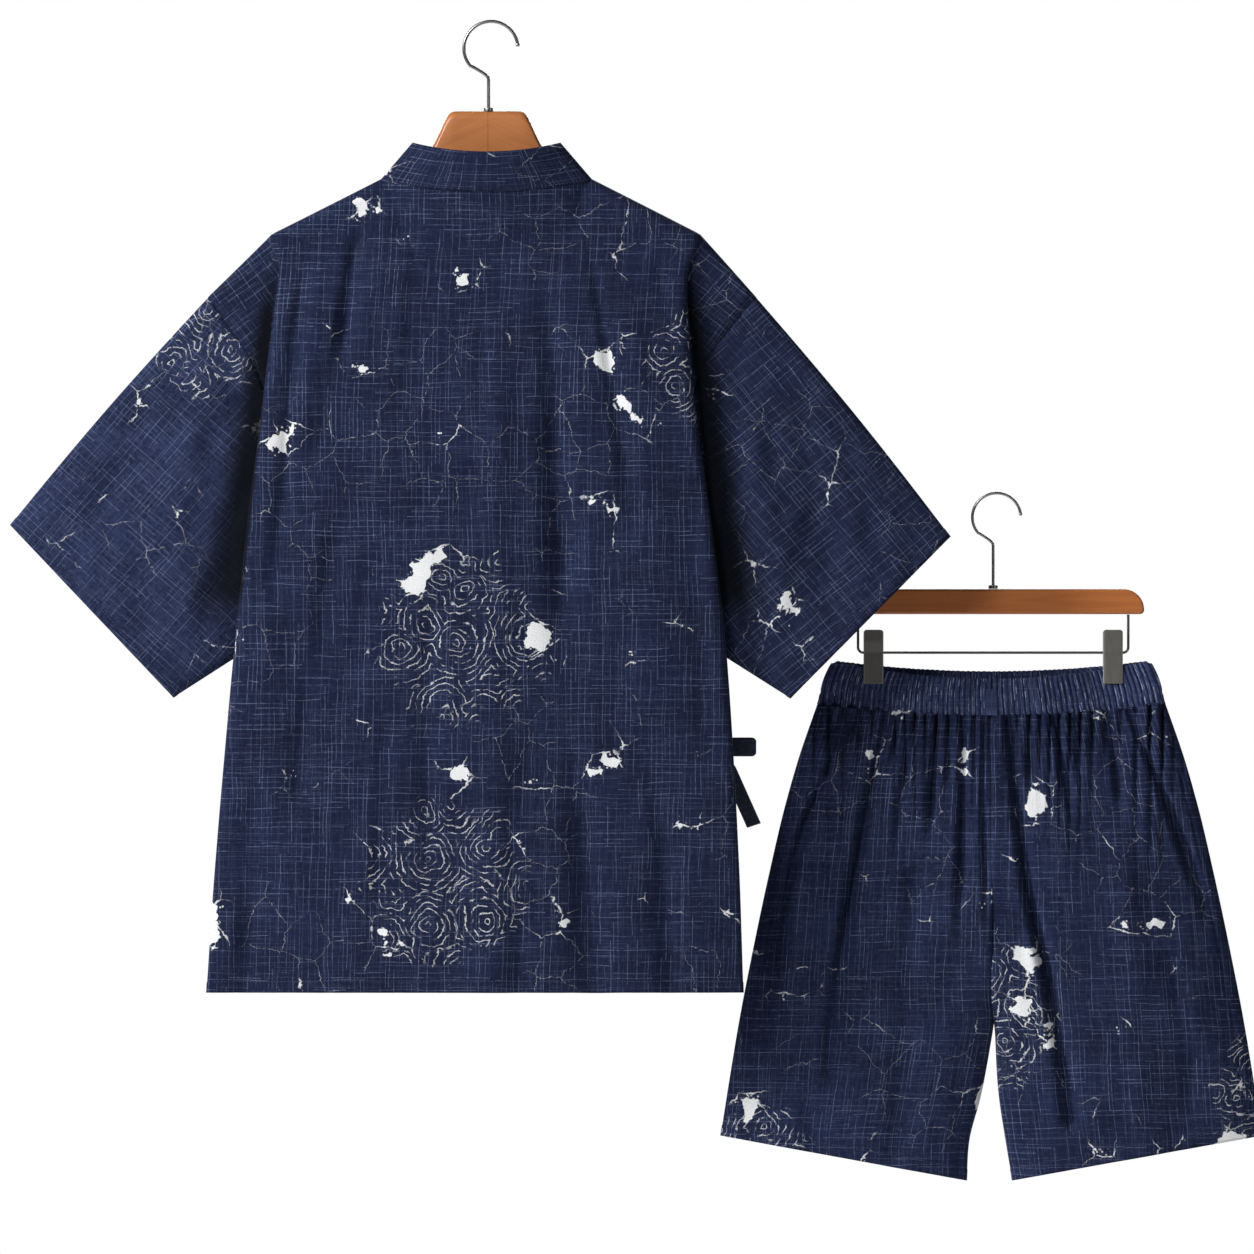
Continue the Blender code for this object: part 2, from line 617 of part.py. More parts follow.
def make_jacket_hanger(wood, steel):
    """The shaped wooden hanger inside the jacket, with its steel hook."""
    stations = [(-x, top, tall, half) for x, top, tall, half in WOOD_STATIONS[:0:-1]]
    rings = []
    for x, top, tall, half in stations + list(WOOD_STATIONS):
        ring = []
        for k in range(RING):
            angle = 2 * math.pi * (k + 0.5) / RING
            lift = (top - half) if math.sin(angle) > 0 else (top - tall + half)
            ring.append((WOOD_X + x, half * math.cos(angle), lift + half * math.sin(angle)))
        rings.append(ring)
    loft("jacket_hanger_wood", rings, wood)
    top = WOOD_STATIONS[0][1]
    seat = top - WOOD_STATIONS[0][3] * (1 - math.sin(math.pi * 5 / 12)) + GAP
    path = hook_path(0.0, -HOOK_RADIUS + HOOK_WIRE, HOOK_RADIUS, STEM_X, seat, 0.0)
    wire("jacket_hanger_hook", path, HOOK_WIRE, steel)
    ferrule("jacket_hanger_ferrule", STEM_X, 0.0, seat + FERRULE_HEIGHT, HOOK_WIRE + GAP, steel)


def gathers(round_way, drop):
    """Rise of the gathers below the waistband at a share of the way round one leg."""
    beat = 2 * math.pi * GATHERS * round_way
    wander = 0.8 * np.sin(2 * math.pi * 3 * round_way + 0.7)
    fine = np.sin(beat + wander)
    broad = np.sin(beat / 3 + 1.1)
    fade = np.exp(-drop / GATHER_FADE)
    return GATHER_RISE * fine * fade + 0.0022 * broad * np.exp(-drop / 0.16)


def leg_rows(side):
    """Rows of one leg: from the seat seam round the side and back; closed below the crotch."""
    rows = []
    half = LEG_COLUMNS // 2
    for drop in LEG_DROPS:
        share = drop / LEG_DROPS[-1]
        row = []
        for column in range(LEG_COLUMNS + 1):
            round_way = column / LEG_COLUMNS
            near = column <= half
            step = column if near else LEG_COLUMNS - column
            lean = math.sin(math.pi / 2 * step / half)
            seam = SEAT_SEAM_NEAR if near else SEAT_SEAM_FAR
            top = mix(seam, SEAT_SEAM_SIDE, lean ** 2)
            z = mix(top, mix(HEM_INNER_Z, HEM_OUTER_Z, lean), share)
            outer = float(look_up(LEG_OUTLINE, z))
            inner_z = min(z, CROTCH_Z)
            column_of = 1 if side < 0 else 2
            split = ease((CROTCH_Z - z + 0.03) / 0.05)
            inner = side * float(look_up(INSEAM, inner_z, column_of)) * split
            inner += GAP
            open_way = math.sqrt(max(1 - max(CROTCH_RUN - (z - CROTCH_Z), 0.0) ** 2
                                     / CROTCH_RUN ** 2, 0.0)) if z > CROTCH_Z else 0.0
            middle = 0.42
            if lean >= middle:
                bulge = math.sqrt(max(1 - ((lean - middle) / (1 - middle)) ** 2, 0.0))
            else:
                q = (middle - lean) / middle
                bulge = math.sqrt(max(1 - q * q * (1 - open_way ** 2), 0.0))
            deep = float(look_up(LEG_OUTLINE, z, 2))
            waist = waist_depth(lean * WAIST_HALF)
            deep_here = mix(waist, deep * bulge, float(ease(drop / 0.10)))
            ripple = gathers(round_way * 1.0, drop) * min(deep_here / 0.006, 1.0)
            depth = max(deep_here + ripple * float(ease(drop / 0.02 + 0.35)), EDGE)
            facing = -1 if near else 1
            if step == half:
                depth = 0.0
            out = mix(inner, outer, lean)
            row.append((SHORTS_X + side * out, SHORTS_Y + facing * depth, z))
        rows.append(row)
    return np.array(rows)


def waist_depth(out):
    """Half depth of the waist in plan: nipped by the clips, bowed between them."""
    keys = [row[0] for row in WAIST_PLAN]
    return float(np.interp(abs(out), keys, [row[1] for row in WAIST_PLAN]))


def make_shorts(finish, band_finish):
    """Two legs joined at the seat seam, and the ribbed elastic waistband."""
    cloth("shorts_leg_left", leg_rows(-1)[:, ::-1], finish)
    cloth("shorts_leg_right", leg_rows(1), finish)
    plan = np.array(WAIST_PLAN)
    run = np.concatenate([[0.0], np.cumsum(np.hypot(*np.diff(plan, axis=0).T))])
    quarter = RIBS // 2
    ways = (np.arange(quarter) + 0.5) / quarter * run[-1]
    out = np.interp(ways, run, plan[:, 0])
    depth = np.interp(ways, run, plan[:, 1])
    out = np.concatenate([out, out[::-1], -out, -out[::-1]])
    depth = np.concatenate([-depth, depth[::-1], depth, -depth[::-1]])
    rib = RIB_RISE * (np.arange(len(out)) % 2)
    near = depth < 0
    rows = []
    for half, top in ((WAIST_HALF, True), (LEG_OUTLINE[0][1], False)):
        share = np.abs(out) / WAIST_HALF
        if top:
            middle = np.where(near, WAIST_TOP_NEAR, WAIST_TOP_FAR)
            z = mix(middle, WAIST_TOP_SIDE, share ** 2)
        else:
            middle = np.where(near, SEAT_SEAM_NEAR, SEAT_SEAM_FAR)
            z = mix(middle, SEAT_SEAM_SIDE, share ** 2) + WALL / 2 + GAP + 0.0003
        x = SHORTS_X + out * half / WAIST_HALF
        rows.append(np.stack([x, SHORTS_Y + depth, z, rib], axis=-1))
    ring_wall("shorts_waistband", np.array(rows), band_finish)


def ring_wall(name, rows, finish):
    """A closed upright band: ribs stand out of its outer face, its inner face is plain."""
    count = rows.shape[1]
    points = rows[..., :3]
    ribs = rows[..., 3]
    ahead = np.roll(points, -1, axis=1) - np.roll(points, 1, axis=1)
    outward = np.stack([ahead[..., 1], -ahead[..., 0], np.zeros(ribs.shape)], axis=-1)
    centre = np.array([SHORTS_X, SHORTS_Y, 0.0])
    outward /= np.linalg.norm(outward, axis=-1, keepdims=True)
    towards = np.sum((points[0, count // 2] - centre) * outward[0, count // 2])
    outward *= 1.0 if towards > 0 else -1.0
    outer = points + outward * (WAIST_WALL / 2 + ribs)[..., None]
    inner = points - outward * (WAIST_WALL / 2)
    shell = np.concatenate([outer, inner[::-1]], axis=0)
    total = shell.shape[0]
    faces = []
    for i in range(total):
        n = (i + 1) % total
        for j in range(count):
            k = (j + 1) % count
            faces.append((i * count + j, n * count + j, n * count + k, i * count + k))
    mesh = bpy.data.meshes.new(name)
    mesh.from_pydata(shell.reshape(-1, 3).tolist(), [], faces)
    shape = bmesh.new()
    shape.from_mesh(mesh)
    bmesh.ops.recalc_face_normals(shape, faces=shape.faces)
    shape.to_mesh(mesh)
    shape.free()
    return finish_object(name, mesh, finish)


def bar_outline(inset):
    """The bar seen from the front: its ends are well rounded above and a little below."""
    corners = (  # towards x, towards z, radius, first angle
        (1, -1, BAR_FOOT_ROUND, -0.5 * math.pi), (1, 1, BAR_ROUND, 0.0),
        (-1, 1, BAR_ROUND, 0.5 * math.pi), (-1, -1, BAR_FOOT_ROUND, math.pi),
    )
    points = []
    for side, level, radius, first in corners:
        round_by = radius - inset
        edge = BAR_TOP if level > 0 else BAR_TOP - BAR_HEIGHT
        centre_x = BAR_X + side * (BAR_HALF - radius)
        centre_z = edge - level * radius
        for angle in np.linspace(first, first + math.pi / 2, BAR_CORNER_STEPS):
            points.append((centre_x + round_by * math.cos(angle),
                           centre_z + round_by * math.sin(angle)))
    return points


def make_shorts_hanger(wood, steel, clip_finish):
    """The small hanger over the shorts: a wooden bar, a bent wire and two spring clips."""
    half = BAR_DEPTH / 2
    rings = [[(x, SHORTS_Y + y, z) for x, z in bar_outline(inset)]
             for y, inset in ((-half, BAR_BEVEL), (BAR_BEVEL - half, 0.0),
                              (half - BAR_BEVEL, 0.0), (half, BAR_BEVEL))]
    loft("shorts_hanger_bar", rings, wood)
    seat = BAR_TOP + GAP
    path = hook_path(SMALL_HOOK_CENTRE[0], SMALL_HOOK_CENTRE[1], SMALL_HOOK_RADIUS, BAR_X,
                     seat, SHORTS_Y)
    wire("shorts_hanger_hook", path, SMALL_HOOK_WIRE, steel)
    ferrule("shorts_hanger_ferrule", BAR_X, SHORTS_Y, seat + FERRULE_HEIGHT,
            SMALL_HOOK_WIRE + GAP, steel)
    under = BAR_TOP - BAR_HEIGHT - GAP
    bend = 0.005
    points = [(BAR_X - LEG_WIRE_X, SHORTS_Y, under)]
    for angle in np.linspace(math.pi, 1.5 * math.pi, 5):
        points.append((BAR_X - LEG_WIRE_X + bend + bend * math.cos(angle), SHORTS_Y,
                       LEG_WIRE_Z + bend + bend * math.sin(angle)))
    for angle in np.linspace(1.5 * math.pi, 2 * math.pi, 5):
        points.append((BAR_X + LEG_WIRE_X - bend + bend * math.cos(angle), SHORTS_Y,
                       LEG_WIRE_Z + bend + bend * math.sin(angle)))
    points.append((BAR_X + LEG_WIRE_X, SHORTS_Y, under))
    wire("shorts_hanger_wire", points, LEG_WIRE, steel)
    for label, side in (("left", -1), ("right", 1)):
        middle = BAR_X + side * CLIP_X
        for face, facing in (("near", -1), ("far", 1)):
            make_jaw("clip_" + label + "_" + face, middle, facing, clip_finish)
        make_barrel("clip_" + label + "_barrel", middle, steel)


def make_jaw(name, middle, facing, finish):
    """One jaw of a clip: a thin plate, open at the top and closing on the waistband."""
    grip = PINCH * 1.05 + WAIST_WALL / 2 + RIB_RISE + GAP + CLIP_WALL / 2 + 0.0003
    sections = (  # z, distance of the plate from the clip's middle
        (CLIP_TOP, 0.0078), (mix(CLIP_TOP, LEG_WIRE_Z, 0.5), 0.0072),
        (LEG_WIRE_Z, BARREL_RADIUS + CLIP_WALL / 2 + GAP), (-0.6100, grip), (CLIP_FOOT, grip),
    )
    grid = []
    for z, apart in sections:
        narrow = 0.80 if z in (CLIP_TOP,) else 1.0
        grid.append([(middle + CLIP_HALF * narrow * t, SHORTS_Y + facing * apart, z)
                     for t in (-1.0, -0.5, 0.0, 0.5, 1.0)])
    cloth(name, np.array(grid), finish, wall=CLIP_WALL)


def make_barrel(name, middle, finish):
    """The spring round the wire, between the two jaws."""
    rings = []
    inner = LEG_WIRE + GAP
    for radius, x in ((inner, -0.0070), (BARREL_RADIUS, -0.0070), (BARREL_RADIUS, 0.0070),
                      (inner, 0.0070)):
        rings.append([(middle + x, SHORTS_Y + radius * math.cos(a),
                       LEG_WIRE_Z + radius * math.sin(a))
                      for a in np.linspace(0, 2 * math.pi, 16, endpoint=False)])
    faces = []
    for i in range(4):
        n = (i + 1) % 4
        for j in range(16):
            k = (j + 1) % 16
            faces.append((i * 16 + j, i * 16 + k, n * 16 + k, n * 16 + j))
    mesh = bpy.data.meshes.new(name)
    mesh.from_pydata([point for ring in rings for point in ring], [], faces)
    shape = bmesh.new()
    shape.from_mesh(mesh)
    bmesh.ops.recalc_face_normals(shape, faces=shape.faces)
    shape.to_mesh(mesh)
    shape.free()
    finish_object(name, mesh, finish)


for old in list(bpy.data.objects):
    bpy.data.objects.remove(old, do_unlink=True)

navy = material("navy slub cotton", (0.021, 0.029, 0.062), 0.85)
plain_navy = material("plain navy tape", (0.014, 0.018, 0.040), 0.80)
beech = material("red beech", (0.41, 0.16, 0.06), 0.40)
dark_beech = material("brown beech", (0.24, 0.08, 0.03), 0.42)
nickel = material("nickel wire", (0.55, 0.55, 0.55), 0.28, 1.0)
gunmetal = material("gunmetal clip", (0.053, 0.051, 0.050), 0.40, 0.6)

back_left, back_right, left_front, right_front = make_body(navy)
make_sleeve("left", -1, back_left, left_front, navy)
make_sleeve("right", 1, back_right, right_front, navy)
make_collar(back_left, back_right, left_front, right_front, navy)
make_ties(left_front, plain_navy)
make_jacket_hanger(beech, nickel)
make_shorts(navy, navy)
make_shorts_hanger(dark_beech, nickel, gunmetal)
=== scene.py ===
"""The looks of a jinbei, a Japanese summer suit, hung up with its back to the viewer.

Metres, +Z up; the jacket's hook bears on its rail at the origin, and the back faces -Y.
"""
import math

import bmesh
import bpy
import numpy as np
from mathutils import Matrix, Vector


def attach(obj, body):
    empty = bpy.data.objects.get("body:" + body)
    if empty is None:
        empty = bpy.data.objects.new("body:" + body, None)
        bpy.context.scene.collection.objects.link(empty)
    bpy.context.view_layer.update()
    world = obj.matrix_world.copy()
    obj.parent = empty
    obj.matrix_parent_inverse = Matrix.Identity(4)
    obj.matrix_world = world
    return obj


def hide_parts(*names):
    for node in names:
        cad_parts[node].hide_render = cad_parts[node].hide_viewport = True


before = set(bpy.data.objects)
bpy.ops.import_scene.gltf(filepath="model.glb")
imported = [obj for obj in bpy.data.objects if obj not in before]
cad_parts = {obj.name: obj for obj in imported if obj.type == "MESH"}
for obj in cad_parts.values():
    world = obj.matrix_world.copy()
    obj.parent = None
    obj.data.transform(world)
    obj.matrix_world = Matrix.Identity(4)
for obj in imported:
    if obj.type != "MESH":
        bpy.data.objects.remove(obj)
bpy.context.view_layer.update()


# The view: the suit is seen straight on from behind the wearer, from far enough away that
# nothing leans. Two soft lamps stand high on the left, weaker ones on the right and behind, in
# a white room, and a pale floor lies well below the hems.
VIEW_CENTRE = (0.1292, -0.5739)
VIEW_WIDTH = 1.1913
LENS = 900.0
SENSOR = 36.0
NEAR_FACE = -0.005
FLOOR_Z = -1.75

camera_data = bpy.data.cameras.new("view")
camera_data.lens = LENS
camera_data.sensor_width = SENSOR
camera_data.clip_end = 100.0
camera = bpy.data.objects.new("view", camera_data)
camera.location = (VIEW_CENTRE[0], NEAR_FACE - VIEW_WIDTH * LENS / SENSOR, VIEW_CENTRE[1])
camera.rotation_euler = (math.pi / 2, 0.0, 0.0)
bpy.context.scene.collection.objects.link(camera)
bpy.context.scene.camera = camera
bpy.context.scene.view_settings.view_transform = "Standard"

room = bpy.data.worlds.new("white room")
room.use_nodes = True
room_nodes = room.node_tree.nodes
room_nodes["Background"].inputs["Color"].default_value = (0.93, 0.96, 1.0, 1.0)
room_nodes["Background"].inputs["Strength"].default_value = 0.06
paper = room_nodes.new("ShaderNodeBackground")
paper.inputs["Color"].default_value = (1.0, 1.0, 1.0, 1.0)
paper.inputs["Strength"].default_value = 1.0
seen = room_nodes.new("ShaderNodeLightPath")
swap = room_nodes.new("ShaderNodeMixShader")
room.node_tree.links.new(seen.outputs["Is Camera Ray"], swap.inputs["Fac"])
room.node_tree.links.new(room_nodes["Background"].outputs["Background"], swap.inputs[1])
room.node_tree.links.new(paper.outputs["Background"], swap.inputs[2])
room.node_tree.links.new(swap.outputs["Shader"], room_nodes["World Output"].inputs["Surface"])
bpy.context.scene.world = room

for lamp_name, lamp_place, lamp_size, watts in (
        ("lamp left", (-4.9, -2.6, 2.3), 1.45, 370.0),
        ("lamp before left", (-2.6, -4.8, 2.6), 1.45, 140.0),
        ("lamp right", (5.8, -4.6, 0.8), 3.2, 25.0),
        ("lamp behind", (0.6, 5.0, 0.6), 3.4, 170.0)):
    lamp_data = bpy.data.lights.new(lamp_name, "AREA")
    lamp_data.size = lamp_size
    lamp_data.energy = watts
    lamp = bpy.data.objects.new(lamp_name, lamp_data)
    lamp.location = lamp_place
    aim = Vector((0.1, 0.0, -0.6)) - Vector(lamp_place)
    lamp.rotation_euler = aim.to_track_quat("-Z", "Y").to_euler()
    bpy.context.scene.collection.objects.link(lamp)

floor_mesh = bpy.data.meshes.new("floor")
floor_mesh.from_pydata([(-3, -3, FLOOR_Z), (3, -3, FLOOR_Z), (3, 3, FLOOR_Z), (-3, 3, FLOOR_Z)],
                       [], [(0, 1, 2, 3)])
floor = bpy.data.objects.new("floor", floor_mesh)
floor_finish = bpy.data.materials.new("pale floor")
floor_finish.use_nodes = True
floor_finish.node_tree.nodes["Principled BSDF"].inputs["Base Color"].default_value = (
    0.85, 0.85, 0.85, 1.0)
floor_finish.node_tree.nodes["Principled BSDF"].inputs["Roughness"].default_value = 0.8
floor_mesh.materials.append(floor_finish)
bpy.context.scene.collection.objects.link(floor)


# The jacket hanger: two halves of steamed red beech, joined at the neck and shaped by hand to
# the slope of the shoulders, then varnished. The grain of each half runs down its own arm.
WOOD_X = -0.0033
WOOD_JOINT_X = -0.0030
WOOD_STATIONS = (  # x from the middle, top, height, half thickness
    (0.0000, -0.0837, 0.060, 0.0080), (0.0320, -0.0837, 0.060, 0.0080),
    (0.0352, -0.0846, 0.058, 0.0080), (0.0375, -0.0870, 0.056, 0.0080),
    (0.0400, -0.0925, 0.053, 0.0080), (0.0512, -0.1165, 0.040, 0.0080),
    (0.0700, -0.1340, 0.036, 0.0072), (0.1000, -0.1512, 0.034, 0.0066),
    (0.1300, -0.1660, 0.031, 0.0085), (0.1580, -0.1802, 0.026, 0.0110),
    (0.1800, -0.1914, 0.020, 0.0098), (0.1865, -0.1962, 0.012, 0.0055),
    (0.1880, -0.1985, 0.007, 0.0028),
)
WOOD_RING = 40
WOOD_STEPS = 190


def mix(low, high, share):
    """A value part of the way from one to another."""
    return low + (high - low) * share


def ease(share):
    """A smooth rise from 0 to 1."""
    share = np.clip(share, 0.0, 1.0)
    return share * share * (3.0 - 2.0 * share)


def settle(name, data, finish, *nodes):
    """Put a finished piece in its place on the one body, for the solids it stands for."""
    data.materials.append(finish)
    piece = bpy.data.objects.new(name, data)
    bpy.context.scene.collection.objects.link(piece)
    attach(piece, "root")
    if nodes:
        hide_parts(*nodes)
    return piece


def stand(name, mesh, finish, *nodes, crisp=40):
    """Settle a mesh that is smooth between its sharper edges."""
    mesh.shade_smooth()
    mesh.set_sharp_from_angle(angle=math.radians(crisp))
    return settle(name, mesh, finish, *nodes)


def loft(name, rings, finish, *nodes, crisp=40):
    """A closed solid through rings of points, capped at both ends."""
    mesh = bpy.data.meshes.new(name)
    shape = bmesh.new()
    loops = [[shape.verts.new(point) for point in ring] for ring in rings]
    for low, high in zip(loops, loops[1:]):
        for j in range(len(low)):
            k = (j + 1) % len(low)
            shape.faces.new((low[j], low[k], high[k], high[j]))
    shape.faces.new(loops[0][::-1])
    shape.faces.new(loops[-1])
    bmesh.ops.recalc_face_normals(shape, faces=shape.faces)
    shape.to_mesh(mesh)
    shape.free()
    return stand(name, mesh, finish, *nodes, crisp=crisp)


def node(tree, kind, inputs=None, **settings):
    """Add one shader node; each input takes a value or another node's output."""
    made = tree.nodes.new(kind)
    for key, value in settings.items():
        setattr(made, key, value)
    for key, value in (inputs or {}).items():
        if isinstance(value, bpy.types.NodeSocket):
            tree.links.new(value, made.inputs[key])
        else:
            made.inputs[key].default_value = value
    return made


def sum_of(tree, operation, *values, clamp=False):
    """One step of arithmetic between shader values."""
    inputs = {index: value for index, value in enumerate(values)}
    return node(tree, "ShaderNodeMath", inputs, operation=operation, use_clamp=clamp).outputs[0]


def ramp(tree, value, low, high):
    """A soft step of a shader value from 0 at low to 1 at high."""
    made = node(tree, "ShaderNodeMapRange", {"Value": value, "From Min": low, "From Max": high},
                interpolation_type="SMOOTHSTEP")
    return made.outputs["Result"]


def blend_colour(tree, share, low, high):
    """A colour part of the way from one to another."""
    made = node(tree, "ShaderNodeMix", {"Factor": share}, data_type="RGBA")
    for socket, value in ((made.inputs[6], low), (made.inputs[7], high)):
        if isinstance(value, bpy.types.NodeSocket):
            tree.links.new(value, socket)
        else:
            socket.default_value = value
    return made.outputs[2]


def new_group(name, inputs, outputs):
    """A shader node group with named inputs and outputs."""
    group = bpy.data.node_groups.new(name, "ShaderNodeTree")
    for label, kind, value in inputs:
        socket = group.interface.new_socket(name=label, in_out="INPUT",
                                            socket_type="NodeSocket" + kind)
        if value is not None:
            socket.default_value = value
    for label, kind in outputs:
        group.interface.new_socket(name=label, in_out="OUTPUT",
                                   socket_type="NodeSocket" + kind)
    enter = group.nodes.new("NodeGroupInput")
    leave = group.nodes.new("NodeGroupOutput")
    return group, enter.outputs, leave.inputs


def place_group(tree, group, inputs):
    """Use a node group in a material, with that material's own values."""
    return node(tree, "ShaderNodeGroup", inputs, node_tree=group).outputs


def new_material(name, slot):
    """A material for one of the suit's finishes, with its node tree and Principled shader."""
    finish = bpy.data.materials.new(name)
    finish["slot"] = slot
    finish.use_nodes = True
    return finish, finish.node_tree, finish.node_tree.nodes["Principled BSDF"]


def noise(tree, vector, scale=1.0, detail=2.0, rough=0.5):
    """Soft noise over a vector."""
    made = node(tree, "ShaderNodeTexNoise",
                {"Vector": vector, "Scale": scale, "Detail": detail, "Roughness": rough})
    return made.outputs["Fac"]


def combine(tree, x, y, z=0.0):
    """A vector from three values."""
    return node(tree, "ShaderNodeCombineXYZ", {"X": x, "Y": y, "Z": z}).outputs["Vector"]


grain_group, grain_in, grain_out = new_group(
    "beech grain",
    (("Along", "Float", 0.0), ("Across", "Float", 0.0), ("Through", "Float", 0.0),
     ("Light wood", "Color", (0.45, 0.18, 0.07, 1.0)), ("Dark wood", "Color", (0.25, 0.08, 0.03, 1.0)),
     ("Contrast", "Float", 1.0)),
    (("Colour", "Color"), ("Roughness", "Float"), ("Height", "Float")))
grain = grain_group
long_way = sum_of(grain, "MULTIPLY", grain_in["Along"], 9.0)
streak_at = combine(grain, long_way, sum_of(grain, "MULTIPLY", grain_in["Across"], 420.0),
                    sum_of(grain, "MULTIPLY", grain_in["Through"], 260.0))
streak = noise(grain, streak_at, detail=4.0, rough=0.6)
figure_at = combine(grain, sum_of(grain, "MULTIPLY", grain_in["Along"], 5.0),
                    sum_of(grain, "MULTIPLY", grain_in["Across"], 55.0),
                    sum_of(grain, "MULTIPLY", grain_in["Through"], 40.0))
figure = noise(grain, figure_at, detail=3.0)
rings = sum_of(grain, "SINE", sum_of(grain, "MULTIPLY", figure, 34.0))
fleck_at = combine(grain, sum_of(grain, "MULTIPLY", grain_in["Along"], 190.0),
                   sum_of(grain, "MULTIPLY", grain_in["Across"], 1500.0),
                   sum_of(grain, "MULTIPLY", grain_in["Through"], 900.0))
fleck = ramp(grain, noise(grain, fleck_at), 0.60, 0.72)
shade = sum_of(grain, "MULTIPLY_ADD", rings, 0.14, sum_of(grain, "MULTIPLY", streak, 0.75))
shade = sum_of(grain, "MULTIPLY_ADD", fleck, 0.35, sum_of(grain, "SUBTRACT", shade, 0.12))
shade = sum_of(grain, "MULTIPLY", shade, grain_in["Contrast"], clamp=True)
grain.links.new(blend_colour(grain, shade, grain_in["Light wood"], grain_in["Dark wood"]),
                grain_out["Colour"])
grain.links.new(sum_of(grain, "MULTIPLY_ADD", streak, 0.16, 0.34), grain_out["Roughness"])
grain.links.new(sum_of(grain, "MULTIPLY_ADD", fleck, -0.6, sum_of(grain, "MULTIPLY", streak, 0.4)),
                grain_out["Height"])


def varnished_wood(name, slot, light, dark, contrast, slope, joint_x):
    """Varnished beech: slope leans the grain down each arm, joint_x is the line of the joint."""
    finish, tree, shader = new_material(name, slot)
    spot = node(tree, "ShaderNodeTexCoord").outputs["Object"]
    axes = node(tree, "ShaderNodeSeparateXYZ", {"Vector": spot}).outputs
    out = sum_of(tree, "ABSOLUTE", sum_of(tree, "SUBTRACT", axes["X"], joint_x))
    across = sum_of(tree, "MULTIPLY_ADD", out, slope, axes["Z"])
    along = sum_of(tree, "MULTIPLY_ADD", axes["Z"], -slope, axes["X"])
    wood = place_group(tree, grain_group, {
        "Along": along, "Across": across, "Through": axes["Y"], "Light wood": light,
        "Dark wood": dark, "Contrast": contrast})
    line = sum_of(tree, "SUBTRACT", 1.0, ramp(tree, out, 0.0002, 0.0009))
    line = sum_of(tree, "MULTIPLY", line, 0.55 if slope else 0.0)
    tree.links.new(blend_colour(tree, line, wood["Colour"], dark), shader.inputs["Base Color"])
    tree.links.new(wood["Roughness"], shader.inputs["Roughness"])
    bump = node(tree, "ShaderNodeBump", {"Height": wood["Height"], "Distance": 0.0002,
                                         "Strength": 0.35})
    tree.links.new(bump.outputs["Normal"], shader.inputs["Normal"])
    shader.inputs["Coat Weight"].default_value = 0.35
    shader.inputs["Coat Roughness"].default_value = 0.22
    shader.inputs["Specular IOR Level"].default_value = 0.4
    return finish


red_beech = varnished_wood("red beech", "red_beech", (0.52, 0.195, 0.062, 1.0),
                           (0.30, 0.085, 0.022, 1.0), 0.75, 0.45, WOOD_JOINT_X)
wood_table = np.array(WOOD_STATIONS)
half_way = np.linspace(0.0, 1.0, WOOD_STEPS // 2)
wood_x = wood_table[-1, 0] * (1 - (1 - half_way) ** 1.15)
wood_x = np.concatenate([-wood_x[:0:-1], wood_x])
wood_shape = [np.interp(np.abs(wood_x), wood_table[:, 0], wood_table[:, i]) for i in (1, 2, 3)]
for values in wood_shape:
    values[1:-1] = (values[:-2] + 2 * values[1:-1] + values[2:]) / 4
wood_rings = []
for x, top, tall, half in zip(wood_x, *wood_shape):
    ring = []
    for k in range(WOOD_RING):
        angle = 2 * math.pi * (k + 0.5) / WOOD_RING
        lift = (top - half) if math.sin(angle) > 0 else (top - tall + half)
        ring.append((WOOD_X + x, half * math.cos(angle), lift + half * math.sin(angle)))
    wood_rings.append(ring)
loft("hanger_wood", wood_rings, red_beech, "jacket_hanger_wood", crisp=60)


# The hook of the jacket hanger: bright steel wire, bent round a former, cut and rolled to a
# small ball at its tip. It screws into the wood through a turned collar.
HOOK_RADIUS = 0.0257
HOOK_WIRE = 0.0016
STEM_X = -0.0023
GAP = 0.0003
WIRE_STEPS = 4
FERRULE_RADIUS = 0.0045
FERRULE_HEIGHT = 0.0035


def bright_steel(name, colour, roughness):
    """Plated steel wire: faint draw marks and a little dullness where it is handled."""
    finish, tree, shader = new_material(name, "nickel_wire")
    spot = node(tree, "ShaderNodeTexCoord").outputs["Object"]
    marks = noise(tree, spot, scale=420.0, detail=3.0)
    dull = noise(tree, spot, scale=38.0, detail=2.0)
    shader.inputs["Metallic"].default_value = 1.0
    tone = blend_colour(tree, ramp(tree, dull, 0.35, 0.75), colour,
                        tuple(part * 0.72 for part in colour[:3]) + (1.0,))
    tree.links.new(tone, shader.inputs["Base Color"])
    rough = sum_of(tree, "MULTIPLY_ADD", marks, 0.18, roughness - 0.05)
    tree.links.new(rough, shader.inputs["Roughness"])
    bump = node(tree, "ShaderNodeBump", {"Height": marks, "Distance": 0.00005, "Strength": 0.3})
    tree.links.new(bump.outputs["Normal"], shader.inputs["Normal"])
    return finish


def wire(name, points, radius, finish, *nodes):
    """A round wire along a line of points, closed at both ends."""
    line = bpy.data.curves.new(name, "CURVE")
    line.dimensions = "3D"
    line.bevel_depth = radius
    line.bevel_resolution = WIRE_STEPS
    line.use_fill_caps = True
    spline = line.splines.new("POLY")
    spline.points.add(len(points) - 1)
    for dot, (x, y, z) in zip(spline.points, points):
        dot.co = (x, y, z, 1.0)
    spline.use_smooth = True
    return settle(name, line, finish, *nodes)


